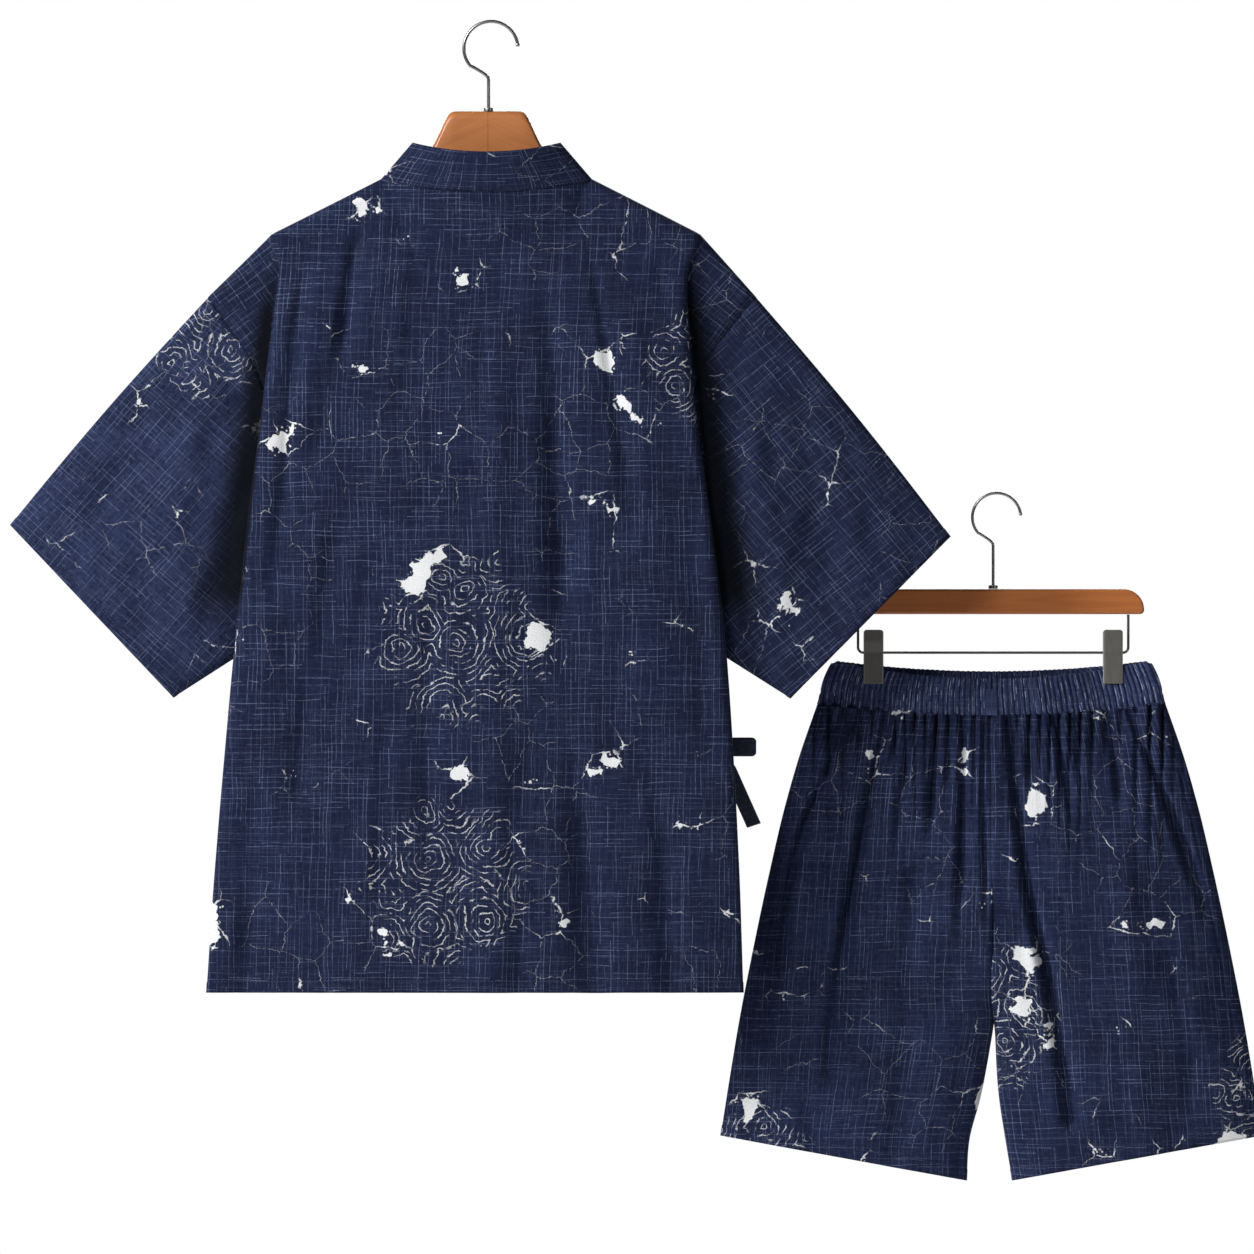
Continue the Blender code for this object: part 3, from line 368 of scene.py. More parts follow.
def hook_path(centre_x, centre_z, radius, stem_x, bottom, y):
    """A hanger's hook: most of a circle, a short slope and an upright stem, its bends eased."""
    points = []
    for degree in range(8, 221, 4):
        angle = math.radians(degree)
        points.append((centre_x + radius * math.cos(angle), y, centre_z + radius * math.sin(angle)))
    low = points[-1]
    drop = centre_z - radius * 1.02
    for share in np.linspace(0.12, 0.86, 8):
        points.append((mix(low[0], stem_x - 0.001, share), y, mix(low[2], drop, share ** 1.15)))
    points.append((stem_x - 0.0003, y, drop - 0.0015))
    points.append((stem_x, y, drop - 0.004))
    points.append((stem_x, y, mix(drop - 0.004, bottom, 0.5)))
    points.append((stem_x, y, bottom))
    return points


def ball_tip(name, place, radius, finish):
    """The small ball rolled on the end of a hook."""
    mesh = bpy.data.meshes.new(name)
    shape = bmesh.new()
    bmesh.ops.create_uvsphere(shape, u_segments=24, v_segments=14, radius=radius,
                              matrix=Matrix.Translation(place))
    shape.to_mesh(mesh)
    shape.free()
    return stand(name, mesh, finish)


def ferrule(name, x, y, top, inner, finish, *nodes):
    """The turned collar round a hook's stem, its upper edge rolled over."""
    outline = [(inner, top)]
    for angle in np.linspace(0.5 * math.pi, 0.0, 7):
        outline.append((FERRULE_RADIUS - 0.0008 + 0.0008 * math.cos(angle),
                        top - 0.0008 + 0.0008 * math.sin(angle)))
    outline += [(FERRULE_RADIUS, top - FERRULE_HEIGHT * 0.75),
                (FERRULE_RADIUS * 0.93, top - FERRULE_HEIGHT * 0.82),
                (FERRULE_RADIUS, top - FERRULE_HEIGHT * 0.90),
                (FERRULE_RADIUS, top - FERRULE_HEIGHT), (inner, top - FERRULE_HEIGHT)]
    around = np.linspace(0, 2 * math.pi, 48, endpoint=False)
    points = [(x + radius * math.cos(a), y + radius * math.sin(a), z)
              for radius, z in outline for a in around]
    faces = []
    for i in range(len(outline)):
        n = (i + 1) % len(outline)
        for j in range(48):
            k = (j + 1) % 48
            faces.append((i * 48 + j, n * 48 + j, n * 48 + k, i * 48 + k))
    mesh = bpy.data.meshes.new(name)
    mesh.from_pydata(points, [], faces)
    return stand(name, mesh, finish, *nodes)


nickel = bright_steel("nickel wire", (0.42, 0.42, 0.43, 1.0), 0.26)
jacket_seat = WOOD_STATIONS[0][1] - 0.0003
hook_points = hook_path(0.0, HOOK_WIRE - HOOK_RADIUS, HOOK_RADIUS, STEM_X, jacket_seat, 0.0)
wire("hanger_hook", hook_points, HOOK_WIRE, nickel, "jacket_hanger_hook")
ball_tip("hanger_hook_tip", hook_points[0], 0.00205, nickel)
ferrule("hanger_ferrule", STEM_X, 0.0, jacket_seat + FERRULE_HEIGHT, HOOK_WIRE + GAP, nickel,
        "jacket_hanger_ferrule")


# The jacket's back: one width of navy slub cotton, straight-grained, 1.1 mm thick. It
# hangs from the hanger's arms, and beside each sleeve the spare width folds under itself.
# The cloth's weave and its printed ripples are made here for every panel of the suit.
CLOTH_WALL = 0.0011
HEM_GAIN = 1.7
NECK_HALF = 0.100
NECK_Z = -0.1488
NECK_SCOOP = 0.0106
NECK_DEPTH = 0.0225
SHOULDER_HALF = 0.203
SHOULDER_Z = -0.2010
HEM_Z = -0.9212
UNDERARM_Z = -0.5587
CAP_DROP = 0.0598
ARM_RIDGE_NECK = 0.0095
ARM_RIDGE_END = 0.0150
SLEEVE_RIDGE = 0.0065
SPREAD = 0.130
CLOSING_FROM = 0.70
ROUND_FROM = 0.80
HEM_TURN = 0.0105
UNDERARM_DROP = SHOULDER_Z - UNDERARM_Z
BODY_LENGTH = SHOULDER_Z - HEM_Z

SWAY = (  # z, x of the jacket's centre line
    (-0.11, -0.0044), (-0.20, -0.0048), (-0.28, -0.0095), (-0.60, -0.0102), (-0.92, -0.0152),
)
BODY_EDGE = (  # z, half width, depth of the side fold, its turn, half depth
    (-0.201, 0.2030, 0.004, 0.05, 0.0160), (-0.216, 0.1965, 0.006, 0.45, 0.0180),
    (-0.234, 0.1940, 0.011, 0.88, 0.0215), (-0.256, 0.1945, 0.017, 1.00, 0.0245),
    (-0.300, 0.1985, 0.023, 1.00, 0.0270), (-0.377, 0.2066, 0.030, 1.00, 0.0285),
    (-0.484, 0.2210, 0.040, 1.00, 0.0290), (-0.591, 0.2327, 0.045, 1.00, 0.0290),
    (-0.700, 0.2415, 0.030, 1.00, 0.0260), (-0.800, 0.2482, 0.012, 0.85, 0.0200),
    (-0.922, 0.2537, 0.003, 0.55, 0.0120),
)
ARMHOLE = (  # z, distance of the sleeve seam from the centre line
    (-0.2608, 0.2600), (-0.2946, 0.2351), (-0.3107, 0.2228), (-0.3582, 0.2010),
    (-0.4057, 0.1896), (-0.4532, 0.1845), (-0.5587, 0.1850),
)
MIDDLE_DEPTH = ((-0.15, 0.0260), (-0.35, 0.0320), (-0.70, 0.0330), (-0.92, 0.0280))
BACK_CREASES = (  # half width, depth, lean to the shaded side, x and z of points down its line
    (0.0085, 0.0058, 0.9, ((-0.128, -0.190), (-0.134, -0.225), (-0.143, -0.285), (-0.150, -0.350))),
    (0.0075, 0.0036, 0.7, ((-0.172, -0.195), (-0.180, -0.240), (-0.188, -0.300), (-0.197, -0.420),
                           (-0.207, -0.505), (-0.214, -0.600))),
    (0.0100, -0.0035, 0.0, ((-0.161, -0.210), (-0.168, -0.280), (-0.177, -0.360),
                            (-0.182, -0.440))),
    (0.0120, 0.0036, 0.6, ((-0.150, -0.470), (-0.160, -0.545), (-0.164, -0.640))),
    (0.0110, 0.0040, 0.7, ((-0.172, -0.610), (-0.181, -0.670), (-0.191, -0.780))),
    (0.0150, 0.0064, 0.8, ((0.040, -0.215), (0.051, -0.280), (0.056, -0.400), (0.062, -0.520),
                           (0.066, -0.680))),
    (0.0065, 0.0028, 0.9, ((0.088, -0.195), (0.101, -0.270), (0.120, -0.390), (0.136, -0.520))),
    (0.0150, -0.0030, 0.0, ((0.122, -0.220), (0.138, -0.320), (0.152, -0.460), (0.160, -0.600))),
    (0.0160, -0.0040, 0.0, ((0.010, -0.215), (0.006, -0.400), (0.002, -0.650), (-0.002, -0.930))),
    (0.0070, 0.0022, 0.8, ((-0.012, -0.270), (-0.010, -0.320), (-0.012, -0.390))),
    (0.0100, 0.0034, 0.7, ((-0.058, -0.520), (-0.063, -0.620), (-0.064, -0.720), (-0.060, -0.850))),
    (0.0170, 0.0060, 0.7, ((0.070, -0.660), (0.079, -0.740), (0.086, -0.830), (0.092, -0.930))),
    (0.0140, -0.0030, 0.0, ((-0.205, -0.520), (-0.213, -0.620), (-0.222, -0.760))),
    (0.0100, 0.0030, 0.7, ((-0.225, -0.700), (-0.232, -0.800), (-0.238, -0.930))),
    (0.0110, 0.0034, 0.8, ((0.150, -0.700), (0.160, -0.800), (0.166, -0.930))),
    (0.0080, 0.0022, 0.7, ((0.012, -0.740), (0.022, -0.840), (0.026, -0.930))),
    (0.0080, 0.0020, 0.7, ((-0.100, -0.640), (-0.108, -0.760), (-0.112, -0.880))),
    (0.0120, 0.0026, 0.6, ((0.185, -0.480), (0.196, -0.600), (0.204, -0.760))),
    (0.0060, 0.0016, 0.7, ((-0.072, -0.180), (-0.078, -0.250), (-0.082, -0.330))),
    (0.0060, 0.0016, 0.7, ((0.150, -0.200), (0.164, -0.270), (0.172, -0.340))),
)
CROSS_CREASES = (  # length, half height, rise, x and z of its middle, slope
    (0.050, 0.004, 0.0012, -0.090, -0.430, 0.25), (0.070, 0.005, -0.0014, 0.120, -0.610, -0.18),
    (0.060, 0.004, 0.0010, -0.140, -0.720, 0.30), (0.045, 0.004, 0.0011, 0.050, -0.860, 0.12),
    (0.055, 0.004, -0.0010, -0.020, -0.520, -0.15), (0.050, 0.004, 0.0010, 0.150, -0.330, 0.35),
)
ROW_STEP = 0.0042
CAP_TURN = math.radians(38.0)


def look_up(table, z, column=1):
    """One column of a table at height z, smooth between its rows."""
    keys = np.array([row[0] for row in table])
    values = np.array([row[column] for row in table])
    if keys[0] > keys[-1]:
        keys = keys[::-1]
        values = values[::-1]
    slopes = np.gradient(values, keys)
    place = np.clip(np.asarray(z, dtype=float), keys[0], keys[-1])
    low = np.clip(np.searchsorted(keys, place, side="right") - 1, 0, len(keys) - 2)
    step = keys[low + 1] - keys[low]
    t = (place - keys[low]) / step
    lean_low = slopes[low] * step
    lean_high = slopes[low + 1] * step
    curve = (2 * t ** 3 - 3 * t ** 2 + 1) * values[low] + (t ** 3 - 2 * t ** 2 + t) * lean_low
    return curve + (3 * t ** 2 - 2 * t ** 3) * values[low + 1] + (t ** 3 - t ** 2) * lean_high


def crease_rise(creases, x, z, start=0.25, narrow=0.85):
    """Rise of the soft creases at a place on the cloth; they fade in over start and out below."""
    rise = np.zeros(np.broadcast(x, z).shape)
    for half, depth, lean, line in creases:
        levels = np.array([spot[1] for spot in line])
        middle = np.interp(-z, -levels, [spot[0] for spot in line])
        along = (levels[0] - z) / (levels[0] - levels[-1])
        fade = ease(along / start) * ease((1 - along) / (0.40 if levels[-1] > HEM_Z else 0.05))
        beat = 1.0 + 0.25 * np.sin(9.0 * along + 40.0 * half + 300.0 * depth)
        off = (x - middle) / (half * mix(narrow, 1.25, np.clip(along, 0.0, 1.0)))
        rise = rise - depth * beat * fade * (1 + 1.4 * lean * off) * np.exp(-off ** 2)
    return rise


def rumple(x, z, seed, size):
    """The small unevenness of worn cotton: many weak waves, longer down the cloth."""
    random = np.random.default_rng(seed)
    total = np.zeros(np.broadcast(x, z).shape)
    for length in (0.160, 0.110, 0.085, 0.064, 0.050, 0.041, 0.034, 0.028, 0.024, 0.020):
        turn = random.uniform(0, 2 * math.pi)
        way = x * math.cos(turn) + 0.45 * z * math.sin(turn)
        total = total + math.sqrt(length) * np.sin(2 * math.pi * way / length
                                                   + random.uniform(0, 6.3))
    return size * total / 0.6


def cross_rise(creases, x, z):
    """Rise of the short slanting wrinkles that cross a panel."""
    rise = np.zeros(np.broadcast(x, z).shape)
    for length, half, height, middle_x, middle_z, slope in creases:
        along = (x - middle_x) / length
        off = (z - middle_z - slope * (x - middle_x)) / half
        rise = rise + height * np.exp(-along ** 2 * 4) * np.exp(-off ** 2)
    return rise


def hang_depth(drop, ridge, full):
    """Depth of cloth that comes over a round ridge and opens out below it."""
    near = np.minimum(drop, ridge)
    over = np.sqrt(np.maximum(2 * ridge * near - near ** 2, 0.0))
    return over + (full - ridge) * ease((drop - 0.3 * ridge) / SPREAD)


def shoulder_z(out):
    """Height of the neck and shoulder line at a distance from the centre line."""
    out = np.abs(out)
    slope = (SHOULDER_Z - NECK_Z) / (SHOULDER_HALF - NECK_HALF)
    scoop = NECK_Z - NECK_SCOOP * (1 - np.minimum(out / NECK_HALF, 1) ** 2)
    return scoop + slope * np.maximum(out - NECK_HALF, 0.0)


def side_curve(drop):
    """The fold beside the sleeve in one row: steps out, share of depth and of the way, end turn."""
    z = SHOULDER_Z - drop
    turn = math.pi * look_up(BODY_EDGE, z, 3)
    pleat = look_up(BODY_EDGE, z, 2)
    down = min(drop / UNDERARM_DROP, 1.0)
    closing = float(ease((down - CLOSING_FROM) / (1 - CLOSING_FROM)))
    last = 0.5 * math.pi * closing
    side = hang_depth(drop, ARM_RIDGE_END, look_up(BODY_EDGE, z, 4))
    room_left = max(float(side) - SLEEVE_RIDGE * (1 - closing), 0.004)
    first_length = max(turn * mix(0.34, 0.30, closing) * room_left, 0.003)
    last_length = max((turn - last) * mix(0.16, 0.40, closing) * room_left, 0.002)
    way = np.linspace(0.0, first_length + pleat + last_length, 240)
    heading = np.interp(way, [0.0, first_length, first_length + pleat, way[-1]],
                        [0.0, turn, turn, last])
    step = way[1] - way[0]
    out = np.concatenate([[0.0], np.cumsum(np.cos(heading[1:]) * step)])
    sunk = np.concatenate([[0.0], np.cumsum(np.sin(heading[1:]) * step)])
    return way, out, sunk / sunk[-1], first_length, pleat, last_length


def row_drops():
    """Drops of the rows below the shoulder line: close together over the ridge and at the hem."""
    top = [0.0, 0.0008, 0.002, 0.004, 0.0065, 0.0095, 0.013, 0.0165, 0.020, 0.024]
    chest = np.linspace(0.028, UNDERARM_DROP, int(0.33 / ROW_STEP) + 1)
    skirt = np.linspace(UNDERARM_DROP, BODY_LENGTH - HEM_TURN - 0.001,
                        int(0.35 / ROW_STEP) + 1)[1:]
    hem = [BODY_LENGTH - HEM_TURN, BODY_LENGTH - HEM_TURN + 0.001, BODY_LENGTH - 0.006,
           BODY_LENGTH - 0.0025, BODY_LENGTH]
    return np.concatenate([top, chest, skirt, hem])


def half_panel(side, facing, lift, creases, inner, seed):
    """One half of the body, from its inner edge round the side fold to the sleeve seam."""
    rows = []
    flats = []
    for drop in DROPS:
        z_side = SHOULDER_Z - drop
        share = drop / BODY_LENGTH
        down = min(drop / UNDERARM_DROP, 1.0)
        edge = float(look_up(BODY_EDGE, z_side, 1))
        way, out, sunk, first, pleat, last = side_curve(drop)
        start = edge - float(np.interp(first / 2, way, out))
        seam_z = z_side - CAP_DROP * (1 - down)
        seam_x = float(look_up(ARMHOLE, seam_z))
        closing = float(ease((down - CLOSING_FROM) / (1 - CLOSING_FROM)))
        cap = max(seam_x - start - out[-1], 0.0) * (1 - closing)

        main_out = inner(share, start)
        main_z = mix(shoulder_z(main_out), HEM_Z, share)
        fall = shoulder_z(main_out) - main_z
        across = np.clip(np.abs(main_out) / edge, 0.0, 1.0)
        ridge = mix(ARM_RIDGE_NECK, ARM_RIDGE_END,
                    ease((np.abs(main_out) - NECK_HALF) / (SHOULDER_HALF - NECK_HALF)))
        full = mix(look_up(MIDDLE_DEPTH, main_z), look_up(BODY_EDGE, main_z, 4), across ** 2)
        x = look_up(SWAY, main_z) + side * main_out
        folds = (crease_rise(creases, x, main_z) + cross_rise(CROSS_CREASES, facing * x, main_z)
                 + rumple(x, main_z, seed, 0.0009))
        depth = hang_depth(fall, ridge, full)
        depth = depth + (lift * (1 - across ** 4) + folds) * ease(fall / 0.07)
        if lift == 0.0:
            neck = np.clip(np.abs(main_out) / NECK_HALF, 0.0, 1.0)
            fade = 1 - ease(fall / 0.10)
            depth = np.maximum(depth, NECK_DEPTH * np.sqrt(1 - neck ** 2) * fade
                               + depth * (1 - fade))

        crease = min(last / (last + cap), 0.6)
        stops = np.concatenate([
            np.linspace(0.0, first, 9)[1:], first + np.linspace(0.0, pleat, 9)[1:],
            first + pleat + (last + cap) * np.concatenate([
                np.linspace(0.0, crease, 9)[1:], np.linspace(crease, 1.0, 7)[1:]])])
        folded = np.minimum(stops, way[-1])
        side_out = start + np.interp(folded, way, out) + (stops - folded)
        sink = np.interp(folded, way, sunk)
        round_end = math.sqrt(max(1 - max((down - ROUND_FROM) / (1 - ROUND_FROM), 0.0) ** 2, 0.0))
        seam_depth = float(hang_depth(drop, SLEEVE_RIDGE, SLEEVE_RIDGE)) * round_end
        along = np.maximum(stops - first / 2, 0.0) / (stops[-1] - first / 2)

        row_out = np.concatenate([main_out, side_out])
        row_depth = np.concatenate([depth, mix(depth[-1], seam_depth, sink)])
        row_z = np.concatenate([main_z, z_side - CAP_DROP * (1 - down) * along])
        sway = look_up(SWAY, row_z)
        rows.append(np.stack([sway + side * row_out, facing * np.maximum(row_depth, GAP), row_z],
                             axis=-1))
        length = main_out[0] + np.concatenate([[0.0], np.cumsum(np.abs(np.diff(main_out)))])
        flat = np.stack([side * np.concatenate([length, length[-1] + stops]), row_z], axis=-1)
        beyond = np.concatenate([np.zeros(len(main_out), bool), stops > first + pleat / 2])
        turned = CAP_TURN * (1 - ease((down - 0.5) / 0.5))
        slant_out = row_out * math.cos(turned) - row_z * math.sin(turned)
        slant_z = row_out * math.sin(turned) + row_z * math.cos(turned)
        flat[beyond] = np.stack([side * (slant_out + 0.1), slant_z], axis=-1)[beyond]
        flats.append(flat)
    return np.array(rows), np.array(flats)


def cloth(name, grid, flat, finish, *nodes, wall=CLOTH_WALL, ring=False, doubled=None):
    """A thin wall of cloth through a grid of points; flat is the same grid on the cutting table."""
    rows, columns = grid.shape[:2]
    span = columns if ring else columns - 1
    i, j = np.meshgrid(np.arange(rows - 1), np.arange(span), indexing="ij")
    i = i.ravel()
    j = j.ravel()
    k = (j + 1) % columns
    faces = np.stack([i * columns + j, i * columns + k, (i + 1) * columns + k,
                      (i + 1) * columns + j], axis=-1)
    mesh = bpy.data.meshes.new(name)
    mesh.from_pydata(grid.reshape(-1, 3).tolist(), [], faces.tolist())
    corners = np.stack([flat[i, j], flat[i, j + 1], flat[i + 1, j + 1], flat[i + 1, j]], axis=1)
    layer = mesh.uv_layers.new(name="cut")
    layer.data.foreach_set("uv", corners.reshape(-1).astype(np.float32))
    piece = stand(name, mesh, finish, *nodes, crisp=50)
    if doubled is not None:
        group = piece.vertex_groups.new(name="hem")
        for row in doubled:
            group.add(list(range(row * columns, (row + 1) * columns)), 1.0, "REPLACE")
    solid = piece.modifiers.new("wall", "SOLIDIFY")
    solid.thickness = wall if doubled is None else wall * HEM_GAIN
    solid.offset = 0.0
    if doubled is not None:
        solid.vertex_group = "hem"
        solid.thickness_vertex_group = 1 / HEM_GAIN
    area = sum(face.area for face in mesh.polygons)
    return piece, area


thread_group, thread_in, thread_out = new_group(
    "slub threads",
    (("Across", "Float", 0.0), ("Along", "Float", 0.0), ("Pitch", "Float", 0.0046),
     ("Length", "Float", 0.045), ("Width", "Float", 0.10), ("Share", "Float", 0.5),
     ("Seed", "Float", 0.0)),
    (("Thread", "Float"),))
threads = thread_group
drift_at = combine(threads, sum_of(threads, "MULTIPLY", thread_in["Along"], 17.0),
                   sum_of(threads, "MULTIPLY", thread_in["Across"], 30.0), thread_in["Seed"])
drift = sum_of(threads, "MULTIPLY", sum_of(threads, "SUBTRACT", noise(threads, drift_at), 0.5),
               0.0060)
lane = sum_of(threads, "DIVIDE", sum_of(threads, "ADD", thread_in["Across"], drift),
              thread_in["Pitch"])
lane = sum_of(threads, "ADD", lane, sum_of(threads, "MULTIPLY", thread_in["Seed"], 17.3))
lane_number = sum_of(threads, "FLOOR", lane)
pick = node(threads, "ShaderNodeTexWhiteNoise",
            {"Vector": combine(threads, lane_number, thread_in["Seed"])},
            noise_dimensions="3D").outputs["Value"]
centre = sum_of(threads, "MULTIPLY_ADD", pick, 0.6, 0.2)
from_middle = sum_of(threads, "ABSOLUTE", sum_of(
    threads, "SUBTRACT", sum_of(threads, "FRACT", lane), centre))
line_edge = sum_of(threads, "SUBTRACT", 1.0, sum_of(
    threads, "DIVIDE", from_middle, thread_in["Width"]), clamp=True)
stretch = sum_of(threads, "MULTIPLY_ADD", pick, 37.7,
                 sum_of(threads, "DIVIDE", thread_in["Along"], thread_in["Length"]))
stretch_number = sum_of(threads, "FLOOR", stretch)
chance = node(threads, "ShaderNodeTexWhiteNoise",
              {"Vector": combine(threads, stretch_number, lane_number, thread_in["Seed"])},
              noise_dimensions="3D").outputs["Value"]
chance = sum_of(threads, "SUBTRACT", chance, sum_of(threads, "SUBTRACT", 1.0, thread_in["Share"]))
bright = sum_of(threads, "DIVIDE", chance, thread_in["Share"], clamp=True)
slub_at = combine(threads, sum_of(threads, "MULTIPLY", thread_in["Along"], 240.0),
                  sum_of(threads, "MULTIPLY", lane_number, 3.7), thread_in["Seed"])
slub = ramp(threads, noise(threads, slub_at), 0.32, 0.62)
strength = sum_of(threads, "MULTIPLY", bright, sum_of(threads, "MULTIPLY_ADD", slub, 0.75, 0.25))
threads.links.new(sum_of(threads, "MULTIPLY", line_edge, strength), thread_out["Thread"])

cotton_group, cotton_in, cotton_out = new_group(
    "slub cotton",
    (("Map", "Vector", None), ("Ground", "Color", (0.02, 0.03, 0.07, 1.0)),
     ("Shade", "Color", (0.01, 0.015, 0.035, 1.0)), ("Slub", "Color", (0.14, 0.19, 0.34, 1.0)),
     ("Slub share", "Float", 0.55)),
    (("Colour", "Color"), ("Height", "Float")))
cotton = cotton_group
table = node(cotton, "ShaderNodeSeparateXYZ", {"Vector": cotton_in["Map"]}).outputs
warp = place_group(cotton, thread_group, {
    "Across": table["X"], "Along": table["Y"], "Pitch": 0.0041, "Length": 0.038, "Width": 0.105,
    "Share": cotton_in["Slub share"], "Seed": 1.0})["Thread"]
weft = place_group(cotton, thread_group, {
    "Across": table["Y"], "Along": table["X"], "Pitch": 0.0047, "Length": 0.031, "Width": 0.095,
    "Share": cotton_in["Slub share"], "Seed": 4.0})["Thread"]
fine_warp = place_group(cotton, thread_group, {
    "Across": table["X"], "Along": table["Y"], "Pitch": 0.0021, "Length": 0.030, "Width": 0.30,
    "Share": 0.6, "Seed": 7.0})["Thread"]
fine_weft = place_group(cotton, thread_group, {
    "Across": table["Y"], "Along": table["X"], "Pitch": 0.0023, "Length": 0.026, "Width": 0.30,
    "Share": 0.6, "Seed": 9.0})["Thread"]
bold = sum_of(cotton, "ADD", warp, weft, clamp=True)
faint = sum_of(cotton, "ADD", fine_warp, fine_weft)
cloud = noise(cotton, cotton_in["Map"], scale=17.0, detail=3.0)
mottle = noise(cotton, cotton_in["Map"], scale=260.0, detail=2.0)
tone = sum_of(cotton, "MULTIPLY_ADD", mottle, 0.7, sum_of(cotton, "MULTIPLY", cloud, 0.6))
ground = blend_colour(cotton, ramp(cotton, tone, 0.40, 0.92), cotton_in["Shade"],
                      cotton_in["Ground"])
ground = blend_colour(cotton, sum_of(cotton, "MULTIPLY", faint, 0.16), ground, cotton_in["Slub"])
coloured = blend_colour(cotton, sum_of(cotton, "MULTIPLY", bold, 0.85), ground, cotton_in["Slub"])
cotton.links.new(coloured, cotton_out["Colour"])
weave_at = node(cotton, "ShaderNodeVectorMath",
                {0: cotton_in["Map"], 1: (1150.0, 1150.0, 1.0)}, operation="MULTIPLY")
grit = noise(cotton, weave_at.outputs["Vector"], detail=1.0)
height = sum_of(cotton, "MULTIPLY_ADD", bold, 0.6, sum_of(cotton, "MULTIPLY", grit, 0.5))
cotton.links.new(sum_of(cotton, "MULTIPLY_ADD", faint, 0.3, height), cotton_out["Height"])

print_group, print_in, print_out = new_group(
    "ripple print",
    (("Map", "Vector", None), ("Shift", "Vector", None), ("Ripples", "Float", 1.0)),
    (("Ink", "Float"),))
ink = print_group
spot = node(ink, "ShaderNodeVectorMath", {0: print_in["Map"], 1: print_in["Shift"]},
            operation="ADD").outputs["Vector"]
rag = sum_of(ink, "SUBTRACT", noise(ink, spot, scale=24.0, detail=4.0, rough=0.6), 0.5)
cell = node(ink, "ShaderNodeTexVoronoi", {"Vector": spot, "Scale": 3.5, "Randomness": 0.55},
            voronoi_dimensions="2D")
chosen = node(ink, "ShaderNodeSeparateColor", {"Color": cell.outputs["Color"]}).outputs["Red"]
chosen = sum_of(ink, "MULTIPLY", sum_of(ink, "GREATER_THAN", chosen, 0.36), print_in["Ripples"])
reach = sum_of(ink, "MULTIPLY_ADD", rag, 0.34, cell.outputs["Distance"])
inside = sum_of(ink, "MULTIPLY", sum_of(ink, "SUBTRACT", 1.0, ramp(ink, reach, 0.25, 0.28)), chosen)
rim = sum_of(ink, "SUBTRACT", 1.0, ramp(ink, sum_of(ink, "ABSOLUTE", sum_of(
    ink, "SUBTRACT", reach, 0.27)), 0.02, 0.10))
rim = sum_of(ink, "MULTIPLY", rim, chosen)

bend = node(ink, "ShaderNodeTexNoise", {"Vector": spot, "Scale": 19.0, "Detail": 6.0,
                                        "Roughness": 0.62})
bent = node(ink, "ShaderNodeVectorMath",
            {0: bend.outputs["Color"], 1: (0.034, 0.034, 0.0), 2: spot},
            operation="MULTIPLY_ADD").outputs["Vector"]
pool = node(ink, "ShaderNodeTexVoronoi", {"Vector": bent, "Scale": 21.0, "Randomness": 1.0},
            voronoi_dimensions="2D").outputs["Distance"]
ring = sum_of(ink, "ABSOLUTE", sum_of(ink, "SUBTRACT", sum_of(
    ink, "FRACT", sum_of(ink, "MULTIPLY", pool, 8.0)), 0.5))
worn = ramp(ink, noise(ink, spot, scale=95.0, detail=3.0), 0.42, 0.56)
fat = sum_of(ink, "MULTIPLY_ADD", noise(ink, spot, scale=34.0), 0.12, -0.02)
ripple = sum_of(ink, "SUBTRACT", 1.0, ramp(ink, ring, fat, sum_of(ink, "ADD", fat, 0.06)))
ripple = sum_of(ink, "MULTIPLY", sum_of(ink, "MULTIPLY", ripple, worn), inside)
ripple = sum_of(ink, "MULTIPLY", ripple, 0.62)

splash = noise(ink, spot, scale=15.0, detail=4.0, rough=0.52)
splash = sum_of(ink, "MULTIPLY_ADD", rim, 0.060, splash)
jag = sum_of(ink, "SUBTRACT", noise(ink, spot, scale=130.0, detail=2.0), 0.5)
splash = sum_of(ink, "MULTIPLY_ADD", jag, 0.050, splash)
blotch = ramp(ink, splash, 0.680, 0.686)
near = ramp(ink, splash, 0.56, 0.67)
crack = node(ink, "ShaderNodeTexVoronoi", {"Vector": bent, "Scale": 27.0, "Randomness": 1.0},
             voronoi_dimensions="2D", feature="DISTANCE_TO_EDGE").outputs["Distance"]
crack_width = sum_of(ink, "MULTIPLY_ADD", near, 0.020, 0.007)
crack = sum_of(ink, "SUBTRACT", 1.0, ramp(ink, crack, sum_of(
    ink, "MULTIPLY", crack_width, 0.5), crack_width))
broken = ramp(ink, noise(ink, spot, scale=150.0, detail=2.0), 0.40, 0.50)
crack_where = ramp(ink, noise(ink, spot, scale=8.5, detail=1.0), 0.53, 0.58)
crack_where = sum_of(ink, "MAXIMUM", sum_of(ink, "MULTIPLY", crack_where, 0.6), near)
crack = sum_of(ink, "MULTIPLY", sum_of(ink, "MULTIPLY", crack, broken), crack_where)
crack = sum_of(ink, "MULTIPLY", crack, sum_of(ink, "MULTIPLY_ADD", near, 0.45, 0.45))
bead = node(ink, "ShaderNodeTexVoronoi", {"Vector": spot, "Scale": 210.0, "Randomness": 1.0},
            voronoi_dimensions="2D").outputs["Distance"]
bead = sum_of(ink, "LESS_THAN", bead, 0.20)
bead = sum_of(ink, "MULTIPLY", bead, ramp(ink, splash, 0.660, 0.675))
pale = sum_of(ink, "MAXIMUM", sum_of(ink, "MAXIMUM", ripple, crack), sum_of(
    ink, "MAXIMUM", blotch, sum_of(ink, "MULTIPLY", bead, 0.7)))
dry = ramp(ink, noise(ink, spot, scale=800.0, detail=1.0), 0.25, 0.50)
dry = sum_of(ink, "MULTIPLY_ADD", dry, 0.25, 0.75)
